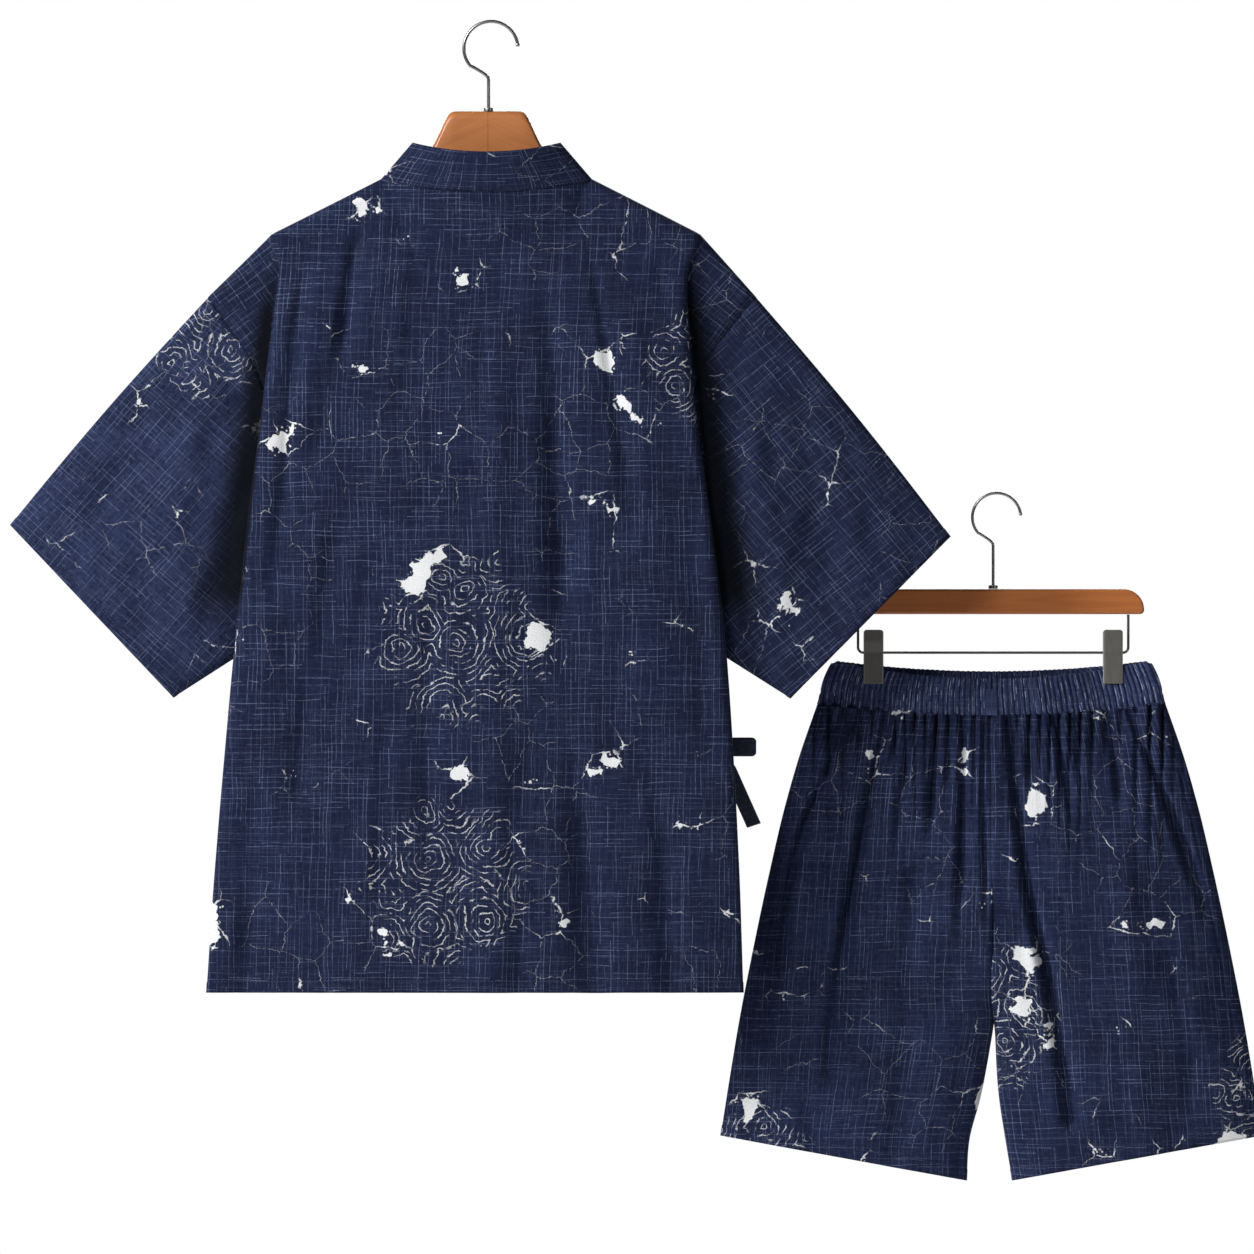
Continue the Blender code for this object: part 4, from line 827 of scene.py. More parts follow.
ink.links.new(sum_of(ink, "MULTIPLY", pale, dry, clamp=True), print_out["Ink"])

# The shade deep inside the folds beside the sleeves: painted, as the lamps leave it too pale
fold_group, fold_in, fold_out = new_group(
    "side fold shade",
    (("Place", "Vector", None), ("Middle", "Float", -0.0098), ("Top", "Float", -0.234),
     ("Half width", "Float", 0.194), ("Spread", "Float", 0.108)),
    (("Shade", "Float"),))
fold = fold_group
fold_axes = node(fold, "ShaderNodeSeparateXYZ", {"Vector": fold_in["Place"]}).outputs
fold_aside = sum_of(fold, "ABSOLUTE", sum_of(fold, "SUBTRACT", fold_axes["X"],
                                             fold_in["Middle"]))
fold_below = sum_of(fold, "SUBTRACT", fold_in["Top"], fold_axes["Z"])
fold_edge = sum_of(fold, "MULTIPLY_ADD", fold_below, fold_in["Spread"], fold_in["Half width"])
fold_beyond = sum_of(fold, "SUBTRACT", fold_aside, fold_edge)
fold_reach = sum_of(fold, "MAXIMUM", sum_of(fold, "MULTIPLY_ADD", fold_below, 0.12, 0.012), 0.006)
fold_dark = sum_of(fold, "SUBTRACT", 1.0, ramp(fold, sum_of(
    fold, "DIVIDE", fold_beyond, fold_reach), 0.28, 1.15))
fold_dark = sum_of(fold, "MULTIPLY", fold_dark, ramp(fold, fold_beyond, -0.0035, 0.0005))
fold_dark = sum_of(fold, "MULTIPLY", fold_dark, ramp(fold, fold_below, -0.02, 0.05))
fold.links.new(sum_of(fold, "MULTIPLY", fold_dark, sum_of(
    fold, "SUBTRACT", 1.0, ramp(fold, fold_below, 0.30, 0.35))), fold_out["Shade"])

GROUND = (0.0118, 0.0178, 0.0530, 1.0)
SHADE = (0.0070, 0.0105, 0.0330, 1.0)
SLUB = (0.170, 0.215, 0.370, 1.0)
CHALK = (0.86, 0.87, 0.88, 1.0)
# The colour of the painted shade in the folds beside the sleeves, and how strongly it is painted
FOLD_SHADOW_NAVY = (0.0012, 0.0016, 0.0040, 1.0)
FOLD_SHADE = 0.95


def navy_cotton(name, shift, slot="navy_cloth", ripples=1.0, share=0.62, ground=GROUND,
                painted_fold_shade=0.0):
    """Navy slub cotton with a chalk-white print; shift moves the print on the cloth."""
    finish, tree, shader = new_material(name, slot)
    flat_map = node(tree, "ShaderNodeUVMap", uv_map="cut").outputs["UV"]
    weave = place_group(tree, cotton_group, {
        "Map": flat_map, "Ground": ground, "Shade": SHADE, "Slub": SLUB, "Slub share": share})
    drawing = place_group(tree, print_group, {"Map": flat_map, "Shift": shift,
                                              "Ripples": ripples})
    colour = blend_colour(tree, drawing["Ink"], weave["Colour"], CHALK)
    # Painted shade: the cloth darkens to near black in the folds beside the sleeves
    if painted_fold_shade:
        place = node(tree, "ShaderNodeTexCoord").outputs["Object"]
        deep = place_group(tree, fold_group, {"Place": place})["Shade"]
        colour = blend_colour(tree, sum_of(tree, "MULTIPLY", deep, painted_fold_shade), colour,
                              FOLD_SHADOW_NAVY)
    tree.links.new(colour, shader.inputs["Base Color"])
    rough = sum_of(tree, "MULTIPLY_ADD", drawing["Ink"], -0.12, 0.86)
    tree.links.new(rough, shader.inputs["Roughness"])
    bump = node(tree, "ShaderNodeBump", {"Height": weave["Height"], "Distance": 0.0004,
                                         "Strength": 0.55})
    tree.links.new(bump.outputs["Normal"], shader.inputs["Normal"])
    shader.inputs["Specular IOR Level"].default_value = 0.12
    shader.inputs["Sheen Weight"].default_value = 0.05
    shader.inputs["Sheen Roughness"].default_value = 0.45
    shader.inputs["Sheen Tint"].default_value = (0.62, 0.72, 1.0, 1.0)
    return finish


def back_columns(share, start):
    """Columns of the back from the centre line to the side fold."""
    neck = NECK_HALF * np.sin(np.linspace(0.0, math.pi / 2, 29))
    rest = np.linspace(NECK_HALF, SHOULDER_HALF, 26)[1:]
    return np.concatenate([neck, rest]) / SHOULDER_HALF * start


DROPS = row_drops()
UNDERARM_ROW = int(np.argmin(np.abs(DROPS - UNDERARM_DROP)))
HEM_ROWS = range(len(DROPS) - 4, len(DROPS))
back_right, flat_right = half_panel(1, -1, 0.0, BACK_CREASES, back_columns, 3)
back_left, flat_left = half_panel(-1, -1, 0.0, BACK_CREASES, back_columns, 3)
back_cotton = navy_cotton("navy slub cotton, back", (3.30, 1.75, 0.0), painted_fold_shade=FOLD_SHADE)
back_grid = np.concatenate([back_left[:, :0:-1], back_right], axis=1)
back_flat = np.concatenate([flat_left[:, :0:-1], flat_right], axis=1)
back_panel, back_area = cloth("back_panel", back_grid, back_flat, back_cotton, "jacket_back",
                              doubled=HEM_ROWS)


# The two fronts: the wearer's left front laps over the right one, each cut from the same
# cloth. Their crossing edges run from the neck to the hip, hidden from behind.
OVER_LIFT = 0.0030
UNDER_LIFT = -0.0030
FRONT_EDGE = (  # z, distance of the crossing edge from the centre line
    (-0.1488, 0.1000), (-0.20, 0.0880), (-0.30, 0.0480), (-0.40, -0.0050), (-0.53, -0.0900),
    (-0.67, -0.1720), (-0.922, -0.1800),
)
OVER_CREASES = (
    (0.0110, 0.0042, 0.8, ((-0.130, -0.200), (-0.136, -0.300), (-0.145, -0.450), (-0.150, -0.600))),
    (0.0130, -0.0030, 0.0, ((-0.095, -0.260), (-0.105, -0.420), (-0.112, -0.620),
                            (-0.120, -0.930))),
    (0.0120, 0.0038, 0.7, ((-0.050, -0.400), (-0.040, -0.560), (-0.045, -0.740),
                           (-0.050, -0.930))),
    (0.0090, 0.0030, 0.7, ((0.030, -0.520), (0.042, -0.640), (0.048, -0.800), (0.050, -0.930))),
    (0.0100, 0.0030, 0.7, ((-0.180, -0.620), (-0.190, -0.760), (-0.196, -0.930))),
    (0.0090, 0.0026, 0.6, ((0.110, -0.660), (0.120, -0.780), (0.124, -0.930))),
)
UNDER_CREASES = (
    (0.0110, 0.0036, 0.8, ((0.120, -0.210), (0.128, -0.320), (0.138, -0.470), (0.142, -0.640))),
    (0.0110, -0.0022, 0.0, ((0.165, -0.240), (0.178, -0.400), (0.190, -0.600))),
)


def front_columns(share, start):
    """Columns of a front from its crossing edge to the side fold."""
    z = mix(NECK_Z, HEM_Z, share)
    return np.linspace(float(look_up(FRONT_EDGE, z)), start, 80)


left_cotton = navy_cotton("navy slub cotton, left front", (0.62, 4.10, 0.0), painted_fold_shade=FOLD_SHADE)
right_cotton = navy_cotton("navy slub cotton, right front", (7.45, 2.20, 0.0), painted_fold_shade=FOLD_SHADE)
front_left, front_left_flat = half_panel(-1, 1, OVER_LIFT, OVER_CREASES, front_columns, 11)
front_right, front_right_flat = half_panel(1, 1, UNDER_LIFT, UNDER_CREASES, front_columns, 12)
over_front, over_area = cloth("front_over", front_left[:, ::-1], front_left_flat[:, ::-1],
                              left_cotton, "jacket_front_left", doubled=HEM_ROWS)
under_front, under_area = cloth("front_under", front_right, front_right_flat, right_cotton,
                                "jacket_front_right", doubled=HEM_ROWS)


# The sleeves: each is one straight width, folded along its top and set square into the side
# of the body, so it lies flat and stands out aslant. The cuff is turned up and stitched.
CUFFS = {  # side: top x, top z, low x, low z
    "right": (0.4405, -0.4884, 0.2894, -0.6413),
    "left": (0.4520, -0.4775, 0.2977, -0.6404),
}
SHOULDER_X = -0.0044
CUFF_DEPTH = 0.0130
CUFF_TURN = 0.0100
SLEEVE_STEP = 0.0042
SLEEVE_CREASES = {
    "right": (
        (0.0170, 0.0048, 0.6, ((0.262, -0.270), (0.284, -0.350), (0.303, -0.430), (0.318, -0.540),
                               (0.322, -0.600))),
        (0.0140, -0.0034, 0.0, ((0.240, -0.330), (0.255, -0.430), (0.270, -0.540),
                                (0.282, -0.620))),
        (0.0120, 0.0028, 0.6, ((0.330, -0.390), (0.352, -0.460), (0.372, -0.540))),
        (0.0100, 0.0024, 0.6, ((0.218, -0.470), (0.232, -0.540), (0.246, -0.610))),
    ),
    "left": (
        (0.0180, 0.0040, -0.5, ((-0.300, -0.310), (-0.335, -0.400), (-0.372, -0.470),
                                (-0.400, -0.520))),
        (0.0170, -0.0040, 0.0, ((-0.262, -0.300), (-0.285, -0.400), (-0.310, -0.520),
                                (-0.325, -0.600))),
        (0.0140, 0.0036, -0.6, ((-0.232, -0.430), (-0.252, -0.520), (-0.285, -0.630))),
        (0.0100, 0.0020, -0.6, ((-0.350, -0.460), (-0.365, -0.520), (-0.372, -0.580))),
    ),
}
SLEEVE_PRINT = {"right": (5.20, 0.35, 0.0), "left": (1.195, 6.60, 0.0)}


def make_sleeve(name, side, back, front, finish):
    """A sleeve from the armhole seam to the cuff; its flat pattern lies along its top fold."""
    top_x, top_z, low_x, low_z = CUFFS[name]
    drops = DROPS[:UNDERARM_ROW + 1]
    seam_back = back[:UNDERARM_ROW + 1, -1].copy()
    seam_front = front[:UNDERARM_ROW + 1, -1].copy()
    closing = ease((drops / UNDERARM_DROP - CLOSING_FROM) / (1 - CLOSING_FROM))
    for seam in (seam_back, seam_front):
        seam[:, 0] += side * (CLOTH_WALL * closing - 0.0004)
        seam[0, 1] = 0.0
        seam[-1, 1] = 0.0
    loop = np.concatenate([seam_back[::-1], seam_front[1:-1]])
    angle = np.arccos(1 - 2 * drops / UNDERARM_DROP)
    round_way = np.concatenate([angle[::-1], -angle[1:-1]])
    across = (1 - np.cos(round_way)) / 2
    cuff = np.stack([SHOULDER_X + side * mix(top_x, low_x, across),
                     -CUFF_DEPTH * np.sin(round_way), mix(top_z, low_z, across)], axis=-1)
    top = UNDERARM_ROW
    length = float(np.linalg.norm(cuff[top] - loop[top]))
    ways = np.concatenate([np.linspace(0.0, 1 - CUFF_TURN / length - 0.004,
                                       int(length / SLEEVE_STEP)),
                           [1 - CUFF_TURN / length, 1 - (CUFF_TURN - 0.001) / length,
                            1 - 0.005 / length, 1.0]])
    fall = (cuff[top] - loop[top])[[0, 2]]
    fall = fall / np.linalg.norm(fall)
    down = np.array([fall[1], -fall[0]]) * side
    rings = []
    flats = []
    far = np.arange(len(across) + 1) > UNDERARM_ROW
    for way in ways:
        ring = mix(loop, cuff, way)
        bow = 0.0030 * math.sin(math.pi * way) * (1 - across)
        ring[:, 0] += side * bow * 0.7
        ring[:, 2] += bow * 0.7
        puff = np.sin(round_way)
        folds = crease_rise(SLEEVE_CREASES[name], ring[:, 0], ring[:, 2])
        folds = folds + rumple(ring[:, 0], ring[:, 2], 21 + side, 0.0010)
        ring[:, 1] -= puff * (folds * ease(way / 0.12) + 0.0030 * math.sin(math.pi * way))
        rings.append(ring)
        spots = np.concatenate([ring, ring[:1]])[:, [0, 2]] - cuff[top][[0, 2]]
        along = spots @ fall
        over = spots @ down
        flats.append(np.stack([np.where(far, -over, over), along], axis=-1))
    grid = np.array(rings)
    flat = np.array(flats)
    count = len(ways)
    piece, area = cloth("sleeve_" + name, grid, flat, finish, "jacket_sleeve_" + name, ring=True,
                        doubled=range(count - 3, count))
    return piece, area, grid


# Painted light: the left sleeve's ground is lighter than the right one's, for the side the lamps face
left_sleeve_cotton = navy_cotton("navy slub cotton, left sleeve", SLEEVE_PRINT["left"],
                                 ground=(0.0260, 0.0370, 0.0960, 1.0), painted_fold_shade=FOLD_SHADE)
right_sleeve_cotton = navy_cotton("navy slub cotton, right sleeve", SLEEVE_PRINT["right"],
                                  painted_fold_shade=FOLD_SHADE)
sleeve_left, sleeve_left_area, sleeve_left_grid = make_sleeve(
    "left", -1, back_left, front_left, left_sleeve_cotton)
sleeve_right, sleeve_right_area, sleeve_right_grid = make_sleeve(
    "right", 1, back_right, front_right, right_sleeve_cotton)


# The collar: one straight band of doubled cloth with a stiffener in it, sewn down both
# crossing edges and round the neck. Behind the neck it stands up and leans on the hanger.
BAND_WALL = 0.0024
BAND_WIDTH = 0.045
BAND_END_Z = -0.680
BAND_SINK = 0.0022
BAND_TOP_SIDE = (0.0694, -0.1144)
BAND_TOP_BACK = (0.0275, -0.1224)
BAND_ACROSS = 12


def band_half(front, side, sink):
    """Seam edge and free edge of the collar band down one front, from the shoulder."""
    seam = []
    free = []
    levels = mix(NECK_Z, HEM_Z, DROPS / BODY_LENGTH)
    count = int(np.sum(levels > BAND_END_Z))
    for i in range(1, count - 2):
        here = front[i, 0]
        reach = 1 if i < 12 else 4
        ahead = front[i + reach, 0] - front[i - 1, 0]
        across = np.array([ahead[2], 0.0, -ahead[0]]) * side
        across = across / np.linalg.norm(across)
        turn = float(ease(DROPS[i] / 0.09))
        rise = np.array([BAND_TOP_SIDE[0] - NECK_HALF, 0.0, BAND_TOP_SIDE[1] - NECK_Z])
        rise = rise / np.linalg.norm(rise) * np.array([side, 1.0, 1.0])
        way = mix(rise, across, turn)
        way = way / np.linalg.norm(way)
        seam.append(here + way * (GAP + 0.0003))
        edge = here + way * BAND_WIDTH
        edge[1] -= sink * turn
        free.append(edge)
    return seam, free


left_seam, left_free = band_half(front_left, -1, 0.0)
right_seam, right_free = band_half(front_right, 1, BAND_SINK)
band_seam = left_seam[::-1]
band_free = left_free[::-1]
for angle in np.linspace(-math.pi / 2, math.pi / 2, 61):
    out = math.sin(angle)
    back = math.cos(angle)
    seam_z = NECK_Z - NECK_SCOOP * (1 - out ** 2) - 0.0012
    centre_x = float(look_up(SWAY, seam_z))
    band_seam.append(np.array([centre_x + NECK_HALF * out, -NECK_DEPTH * back, seam_z]))
    band_free.append(np.array([centre_x + BAND_TOP_SIDE[0] * out, -BAND_TOP_BACK[0] * back,
                               mix(BAND_TOP_SIDE[1], BAND_TOP_BACK[1], back ** 2)]))
band_seam = np.array(band_seam + right_seam)
band_free = np.array(band_free + right_free)
band_shares = np.linspace(0.0, 1.0, BAND_ACROSS + 1)
band_grid = np.stack([mix(band_seam, band_free, share) for share in band_shares], axis=1)
band_run = np.concatenate([[0.0], np.cumsum(np.linalg.norm(np.diff(
    mix(band_seam, band_free, 0.5), axis=0), axis=1))])
band_bow = 0.0007 * np.sin(math.pi * band_shares)
band_grid[:, :, 1] -= band_bow * (band_seam[:, 1:2] < 0)
band_flat = np.stack(np.broadcast_arrays(band_run[:, None], (band_shares * BAND_WIDTH)[None, :]),
                     axis=-1)
collar_cotton = navy_cotton("navy slub cotton, collar", (2.10, 8.30, 0.0), ripples=0.0)
collar, _ = cloth("collar", band_grid, band_flat, collar_cotton, "jacket_collar",
                  wall=BAND_WALL)


# The jacket's sewing: navy thread in plain lock stitches, 3 mm long, along the hems, the cuffs
# and the foot of the collar.
STITCH_PITCH = 0.0034
STITCH_LENGTH = 0.0026
THREAD_RADIUS = 0.00028


def sew(name, runs, finish):
    """Rows of stitches; each run is a line of points and the way out of the cloth."""
    points = []
    faces = []
    for line, outward, stand_off in runs:
        line = np.asarray(line)
        steps = np.linalg.norm(np.diff(line, axis=0), axis=1)
        run = np.concatenate([[0.0], np.cumsum(steps)])
        outward = np.broadcast_to(np.asarray(outward, dtype=float), line.shape)
        for start in np.arange(0.002, run[-1] - STITCH_LENGTH, STITCH_PITCH):
            ends = np.array([start, start + STITCH_LENGTH])
            a, b = (np.array([np.interp(end, run, line[:, axis]) for axis in range(3)])
                    for end in ends)
            out = np.array([np.interp(ends[0], run, outward[:, axis]) for axis in range(3)])
            out = out / np.linalg.norm(out)
            along = (b - a) / np.linalg.norm(b - a)
            cross = np.cross(along, out)
            base = len(points)
            points.append(a + out * stand_off)
            for share in (0.22, 0.78):
                centre = mix(a, b, share) + out * (stand_off + THREAD_RADIUS * 0.6)
                for turn in np.linspace(0, 2 * math.pi, 6, endpoint=False):
                    points.append(centre + THREAD_RADIUS * (out * math.sin(turn)
                                                            + cross * math.cos(turn)))
            points.append(b + out * stand_off)
            for j in range(6):
                k = (j + 1) % 6
                faces.append((base, base + 1 + j, base + 1 + k))
                faces.append((base + 1 + j, base + 7 + j, base + 7 + k, base + 1 + k))
                faces.append((base + 13, base + 7 + k, base + 7 + j))
    mesh = bpy.data.meshes.new(name)
    mesh.from_pydata([tuple(point) for point in points], [], faces)
    shape = bmesh.new()
    shape.from_mesh(mesh)
    bmesh.ops.recalc_face_normals(shape, faces=shape.faces)
    shape.to_mesh(mesh)
    shape.free()
    return stand(name, mesh, finish)


def sewing_thread(name, colour):
    """Spun sewing thread: twisted, a little lighter where it shines."""
    finish, tree, shader = new_material(name, "navy_cloth")
    spot_at = node(tree, "ShaderNodeTexCoord").outputs["Object"]
    twist = noise(tree, spot_at, scale=1900.0, detail=1.0)
    tree.links.new(blend_colour(tree, twist, tuple(part * 0.6 for part in colour[:3]) + (1.0,),
                                colour), shader.inputs["Base Color"])
    tree.links.new(sum_of(tree, "MULTIPLY_ADD", twist, 0.2, 0.5), shader.inputs["Roughness"])
    return finish


navy_thread = sewing_thread("navy thread", (0.060, 0.080, 0.160, 1.0))
half_wall = CLOTH_WALL * 0.85
hem_row = len(DROPS) - 5
cuff_row = len(sleeve_left_grid) - 4
main_columns = len(back_columns(0.0, SHOULDER_HALF))
hem_line = back_grid[hem_row, len(back_left[0]) - main_columns:-(len(back_left[0]) - main_columns)]
runs = [(hem_line, (0, -1, 0), half_wall), (front_left[hem_row, 3:80], (0, 1, 0), half_wall)]
for grid in (sleeve_left_grid, sleeve_right_grid):
    near = grid[cuff_row, 4:UNDERARM_ROW - 3]
    behind = grid[cuff_row, UNDERARM_ROW + 4:-4]
    runs += [(near, (0, -1, 0), half_wall), (behind, (0, 1, 0), half_wall)]
neck_line = band_grid[len(left_seam) + 3:len(left_seam) + 58, 0]
neck_out = np.stack([neck_line[:, 0] * 0.3, np.full(len(neck_line), -1.0),
                     np.zeros(len(neck_line))], axis=-1)
runs.append((neck_line + np.array([0, 0, 0.0022]), neck_out, BAND_WALL / 2))
jacket_stitches = sew("jacket_stitches", runs, navy_thread)


# The ties: plain navy tape cut from the same cloth, without print, sewn flat. The strap of the
# over front meets the strap at the wearer's right side in a bow.
TIE_WIDTH = 0.018
TIE_WALL = 0.0016
KNOT = (0.2200, 0.0420, -0.6880)
KNOT_HALF = (0.0070, 0.0055, 0.0085)
LOOP_TIP_X = 0.2515
LOOP_HALF_DEPTH = 0.0042
TIE_ACROSS = 8

tape, tape_tree, tape_shader = new_material("plain navy tape", "tie_tape")
tape_map = node(tape_tree, "ShaderNodeUVMap", uv_map="cut").outputs["UV"]
# Painted light: the tape's ground is lighter than the cloth it is cut from, making up for the shade on
# the bow
tape_weave = place_group(tape_tree, cotton_group, {
    "Map": tape_map, "Ground": (0.0240, 0.0320, 0.0760, 1.0), "Shade": (0.010, 0.013, 0.032, 1.0),
    "Slub": (0.10, 0.13, 0.22, 1.0), "Slub share": 0.18})
tape_tree.links.new(tape_weave["Colour"], tape_shader.inputs["Base Color"])
tape_rough = noise(tape_tree, tape_map, scale=300.0)
tape_tree.links.new(sum_of(tape_tree, "MULTIPLY_ADD", tape_rough, 0.15, 0.72),
                    tape_shader.inputs["Roughness"])
tape_bump = node(tape_tree, "ShaderNodeBump", {"Height": tape_weave["Height"],
                                               "Distance": 0.0003, "Strength": 0.5})
tape_tree.links.new(tape_bump.outputs["Normal"], tape_shader.inputs["Normal"])
tape_shader.inputs["Sheen Weight"].default_value = 0.10
tape_shader.inputs["Sheen Tint"].default_value = (0.62, 0.72, 1.0, 1.0)


def strip(name, path, *nodes, width=TIE_WIDTH, lean=(0.0, 0.0, 1.0), root=None, steps=40,
          pinch=0.0):
    """A flat tie along a path; root narrows its first end, pinch the fold at its middle."""
    points = np.array(path, dtype=float)
    run = np.concatenate([[0.0], np.cumsum(np.linalg.norm(np.diff(points, axis=0), axis=1))])
    ways = np.linspace(0.0, run[-1], steps)
    points = np.stack([np.interp(ways, run, points[:, axis]) for axis in range(3)], axis=-1)
    widths = np.full(steps, width)
    if root is not None:
        widths = mix(root, width, ease(ways / (run[-1] * 0.2)))
    widths = widths * (1 - pinch * np.exp(-((ways / run[-1] - 0.5) / 0.045) ** 2))
    across = np.linspace(-0.5, 0.5, TIE_ACROSS + 1)
    half = np.array(lean)[None, None, :] * (across[:, None] * widths[None, :])[..., None]
    grid = points[None, :, :] + half
    flat_grid = np.stack(np.broadcast_arrays(ways[None, :], across[:, None] * width), axis=-1)
    piece, _ = cloth(name, grid, flat_grid, tape, *nodes, wall=TIE_WALL)
    return grid


def tie_loop(name, node_name, side, reach):
    """One loop of the bow: the tie leaves the knot, turns at its tip and comes back."""
    root = KNOT[0] + side * (KNOT_HALF[0] + GAP)
    length = reach - abs(root - KNOT[0])
    path = []
    for degree in np.linspace(12, 348, 49):
        angle = math.radians(degree)
        x = root + side * length * (1 - math.cos(angle)) / 2
        path.append((x, KNOT[1] + LOOP_HALF_DEPTH * math.sin(angle), KNOT[2]))
    return strip(name, path, node_name, steps=60, pinch=0.30)


knot_mesh = bpy.data.meshes.new("tie_knot_piece")
knot_shape = bmesh.new()
bmesh.ops.create_uvsphere(knot_shape, u_segments=40, v_segments=24, radius=1.0)
for vertex in knot_shape.verts:
    x, y, z = vertex.co
    groove = 0.06 * math.cos(5.0 * math.atan2(z, x + 0.4) + 2.0 * y)
    size = 1.0 + groove * (1 - y * y)
    vertex.co = [KNOT[i] + KNOT_HALF[i] * part * size for i, part in enumerate((x, y, z))]
knot_shape.to_mesh(knot_mesh)
knot_shape.free()
knot_layer = knot_mesh.uv_layers.new(name="cut")
for loop in knot_mesh.loops:
    corner = knot_mesh.vertices[loop.vertex_index].co
    knot_layer.data[loop.index].uv = (corner.x, corner.z)
stand("tie_knot_piece", knot_mesh, tape, "tie_knot")
tie_loop("tie_loop_out", "tie_loop_outer", 1, LOOP_TIP_X - KNOT[0])
tie_loop("tie_loop_in", "tie_loop_inner", -1, 0.040)
below = KNOT[2] - KNOT_HALF[2] - 0.0003
outer_tail = [(KNOT[0] + 0.0005 + 0.0295 * t, KNOT[1] - 0.0028 - 0.002 * t, below - 0.066 * t)
              for t in np.linspace(0.0, 1.0, 9)]
inner_tail = [(KNOT[0] - 0.0005 - 0.0140 * t, KNOT[1] + 0.0028 + 0.002 * t, below - 0.086 * t)
              for t in np.linspace(0.0, 1.0, 9)]
outer_grid = strip("tie_tail_out", outer_tail, "tie_tail_outer", width=0.014,
                   lean=(0.92, 0.20, 0.30), root=0.005)
strip("tie_tail_in", inner_tail, "tie_tail_inner", width=0.015, lean=(0.98, 0.10, -0.15),
      root=0.005)
anchor = front_left[int(np.argmin(np.abs(DROPS - 0.4834))), 0]
behind_knot = KNOT[1] - KNOT_HALF[1] - TIE_WALL / 2 - 0.0005
strap_start = anchor[1] + CLOTH_WALL / 2 + TIE_WALL / 2 + GAP
front_strap = [(mix(anchor[0], KNOT[0] + 0.002, t), mix(strap_start, behind_knot, t), KNOT[2])
               for t in np.linspace(0.0, 1.0, 9)]
strip("tie_strap_over", front_strap, "tie_strap_front", width=0.014)
wrap_x = look_up(SWAY, KNOT[2]) + look_up(BODY_EDGE, KNOT[2]) + 0.0009 + TIE_WALL / 2
side_strap = [(KNOT[0] + 0.0026, behind_knot, KNOT[2]),
              (wrap_x - 0.0020, behind_knot - 0.0018, KNOT[2]),
              (wrap_x + 0.0004, behind_knot - 0.0060, KNOT[2]),
              (wrap_x + 0.0004, behind_knot - 0.0130, KNOT[2])]
strip("tie_strap_under", side_strap, "tie_strap_side", width=0.014)
tail_end = outer_grid[1:-1, -6]
sew("tie_stitches", [(tail_end, (0, -1, 0), TIE_WALL / 2)],
    sewing_thread("tie thread", (0.12, 0.13, 0.17, 1.0)))


# The shorts hanger: a varnished bar of brown-stained beech, a hook like the jacket's but
# smaller, and a bent wire under the bar that carries two spring clips.
SHORTS_Y = 0.0760
BAR_X = 0.4780
BAR_TOP = -0.5378
BAR_HEIGHT = 0.0239
BAR_HALF = 0.1438
BAR_DEPTH = 0.0120
BAR_ROUND = 0.0195
BAR_FOOT_ROUND = 0.0040
LEG_WIRE_X = 0.1287
LEG_WIRE_Z = -0.5983
LEG_WIRE = 0.00125
SMALL_HOOK_WIRE = 0.0014
SMALL_HOOK_RADIUS = 0.0231
SMALL_HOOK_CENTRE = (0.4813, -0.4694)

brown_beech = varnished_wood("brown beech", "brown_beech", (0.520, 0.168, 0.043, 1.0),
                             (0.290, 0.077, 0.019, 1.0), 0.70, 0.0, BAR_X)


def bar_outline(inset):
    """The bar seen from the front: its ends are well rounded above and a little below."""
    points = []
    for side, level, radius, first in (
            (1, -1, BAR_FOOT_ROUND, -0.5 * math.pi), (1, 1, BAR_ROUND, 0.0),
            (-1, 1, BAR_ROUND, 0.5 * math.pi), (-1, -1, BAR_FOOT_ROUND, math.pi)):
        edge = BAR_TOP if level > 0 else BAR_TOP - BAR_HEIGHT
        for angle in np.linspace(first, first + math.pi / 2, 14):
            points.append((BAR_X + side * (BAR_HALF - radius) + (radius - inset) * math.cos(angle),
                           edge - level * radius + (radius - inset) * math.sin(angle)))
    return points


bar_rings = []
for turn in np.linspace(0.0, math.pi / 2, 6):
    bar_rings.append((-BAR_DEPTH / 2 + 0.0022 * (1 - math.sin(turn)), 0.0022 * (1 - math.cos(turn))))
bar_rings.append((-BAR_DEPTH / 2, 0.0030))
bar_rings = sorted(bar_rings, key=lambda ring: (ring[0], -ring[1]))
bar_rings += [(-y, inset) for y, inset in bar_rings[::-1]]
loft("small_hanger_bar", [[(x, SHORTS_Y + y, z) for x, z in bar_outline(inset)]
                          for y, inset in bar_rings], brown_beech, "shorts_hanger_bar", crisp=35)
small_seat = BAR_TOP + GAP
small_hook = hook_path(SMALL_HOOK_CENTRE[0], SMALL_HOOK_CENTRE[1], SMALL_HOOK_RADIUS, BAR_X,
                       small_seat, SHORTS_Y)
wire("small_hanger_hook", small_hook, SMALL_HOOK_WIRE, nickel, "shorts_hanger_hook")
ball_tip("small_hook_tip", small_hook[0], 0.0018, nickel)
ferrule("small_hanger_ferrule", BAR_X, SHORTS_Y, small_seat + FERRULE_HEIGHT,
        SMALL_HOOK_WIRE + GAP, nickel, "shorts_hanger_ferrule")
under_bar = BAR_TOP - BAR_HEIGHT - GAP
wire_bend = 0.005
clip_wire = [(BAR_X - LEG_WIRE_X, SHORTS_Y, under_bar)]
for angle in np.linspace(math.pi, 1.5 * math.pi, 10):
    clip_wire.append((BAR_X - LEG_WIRE_X + wire_bend + wire_bend * math.cos(angle), SHORTS_Y,
                      LEG_WIRE_Z + wire_bend + wire_bend * math.sin(angle)))
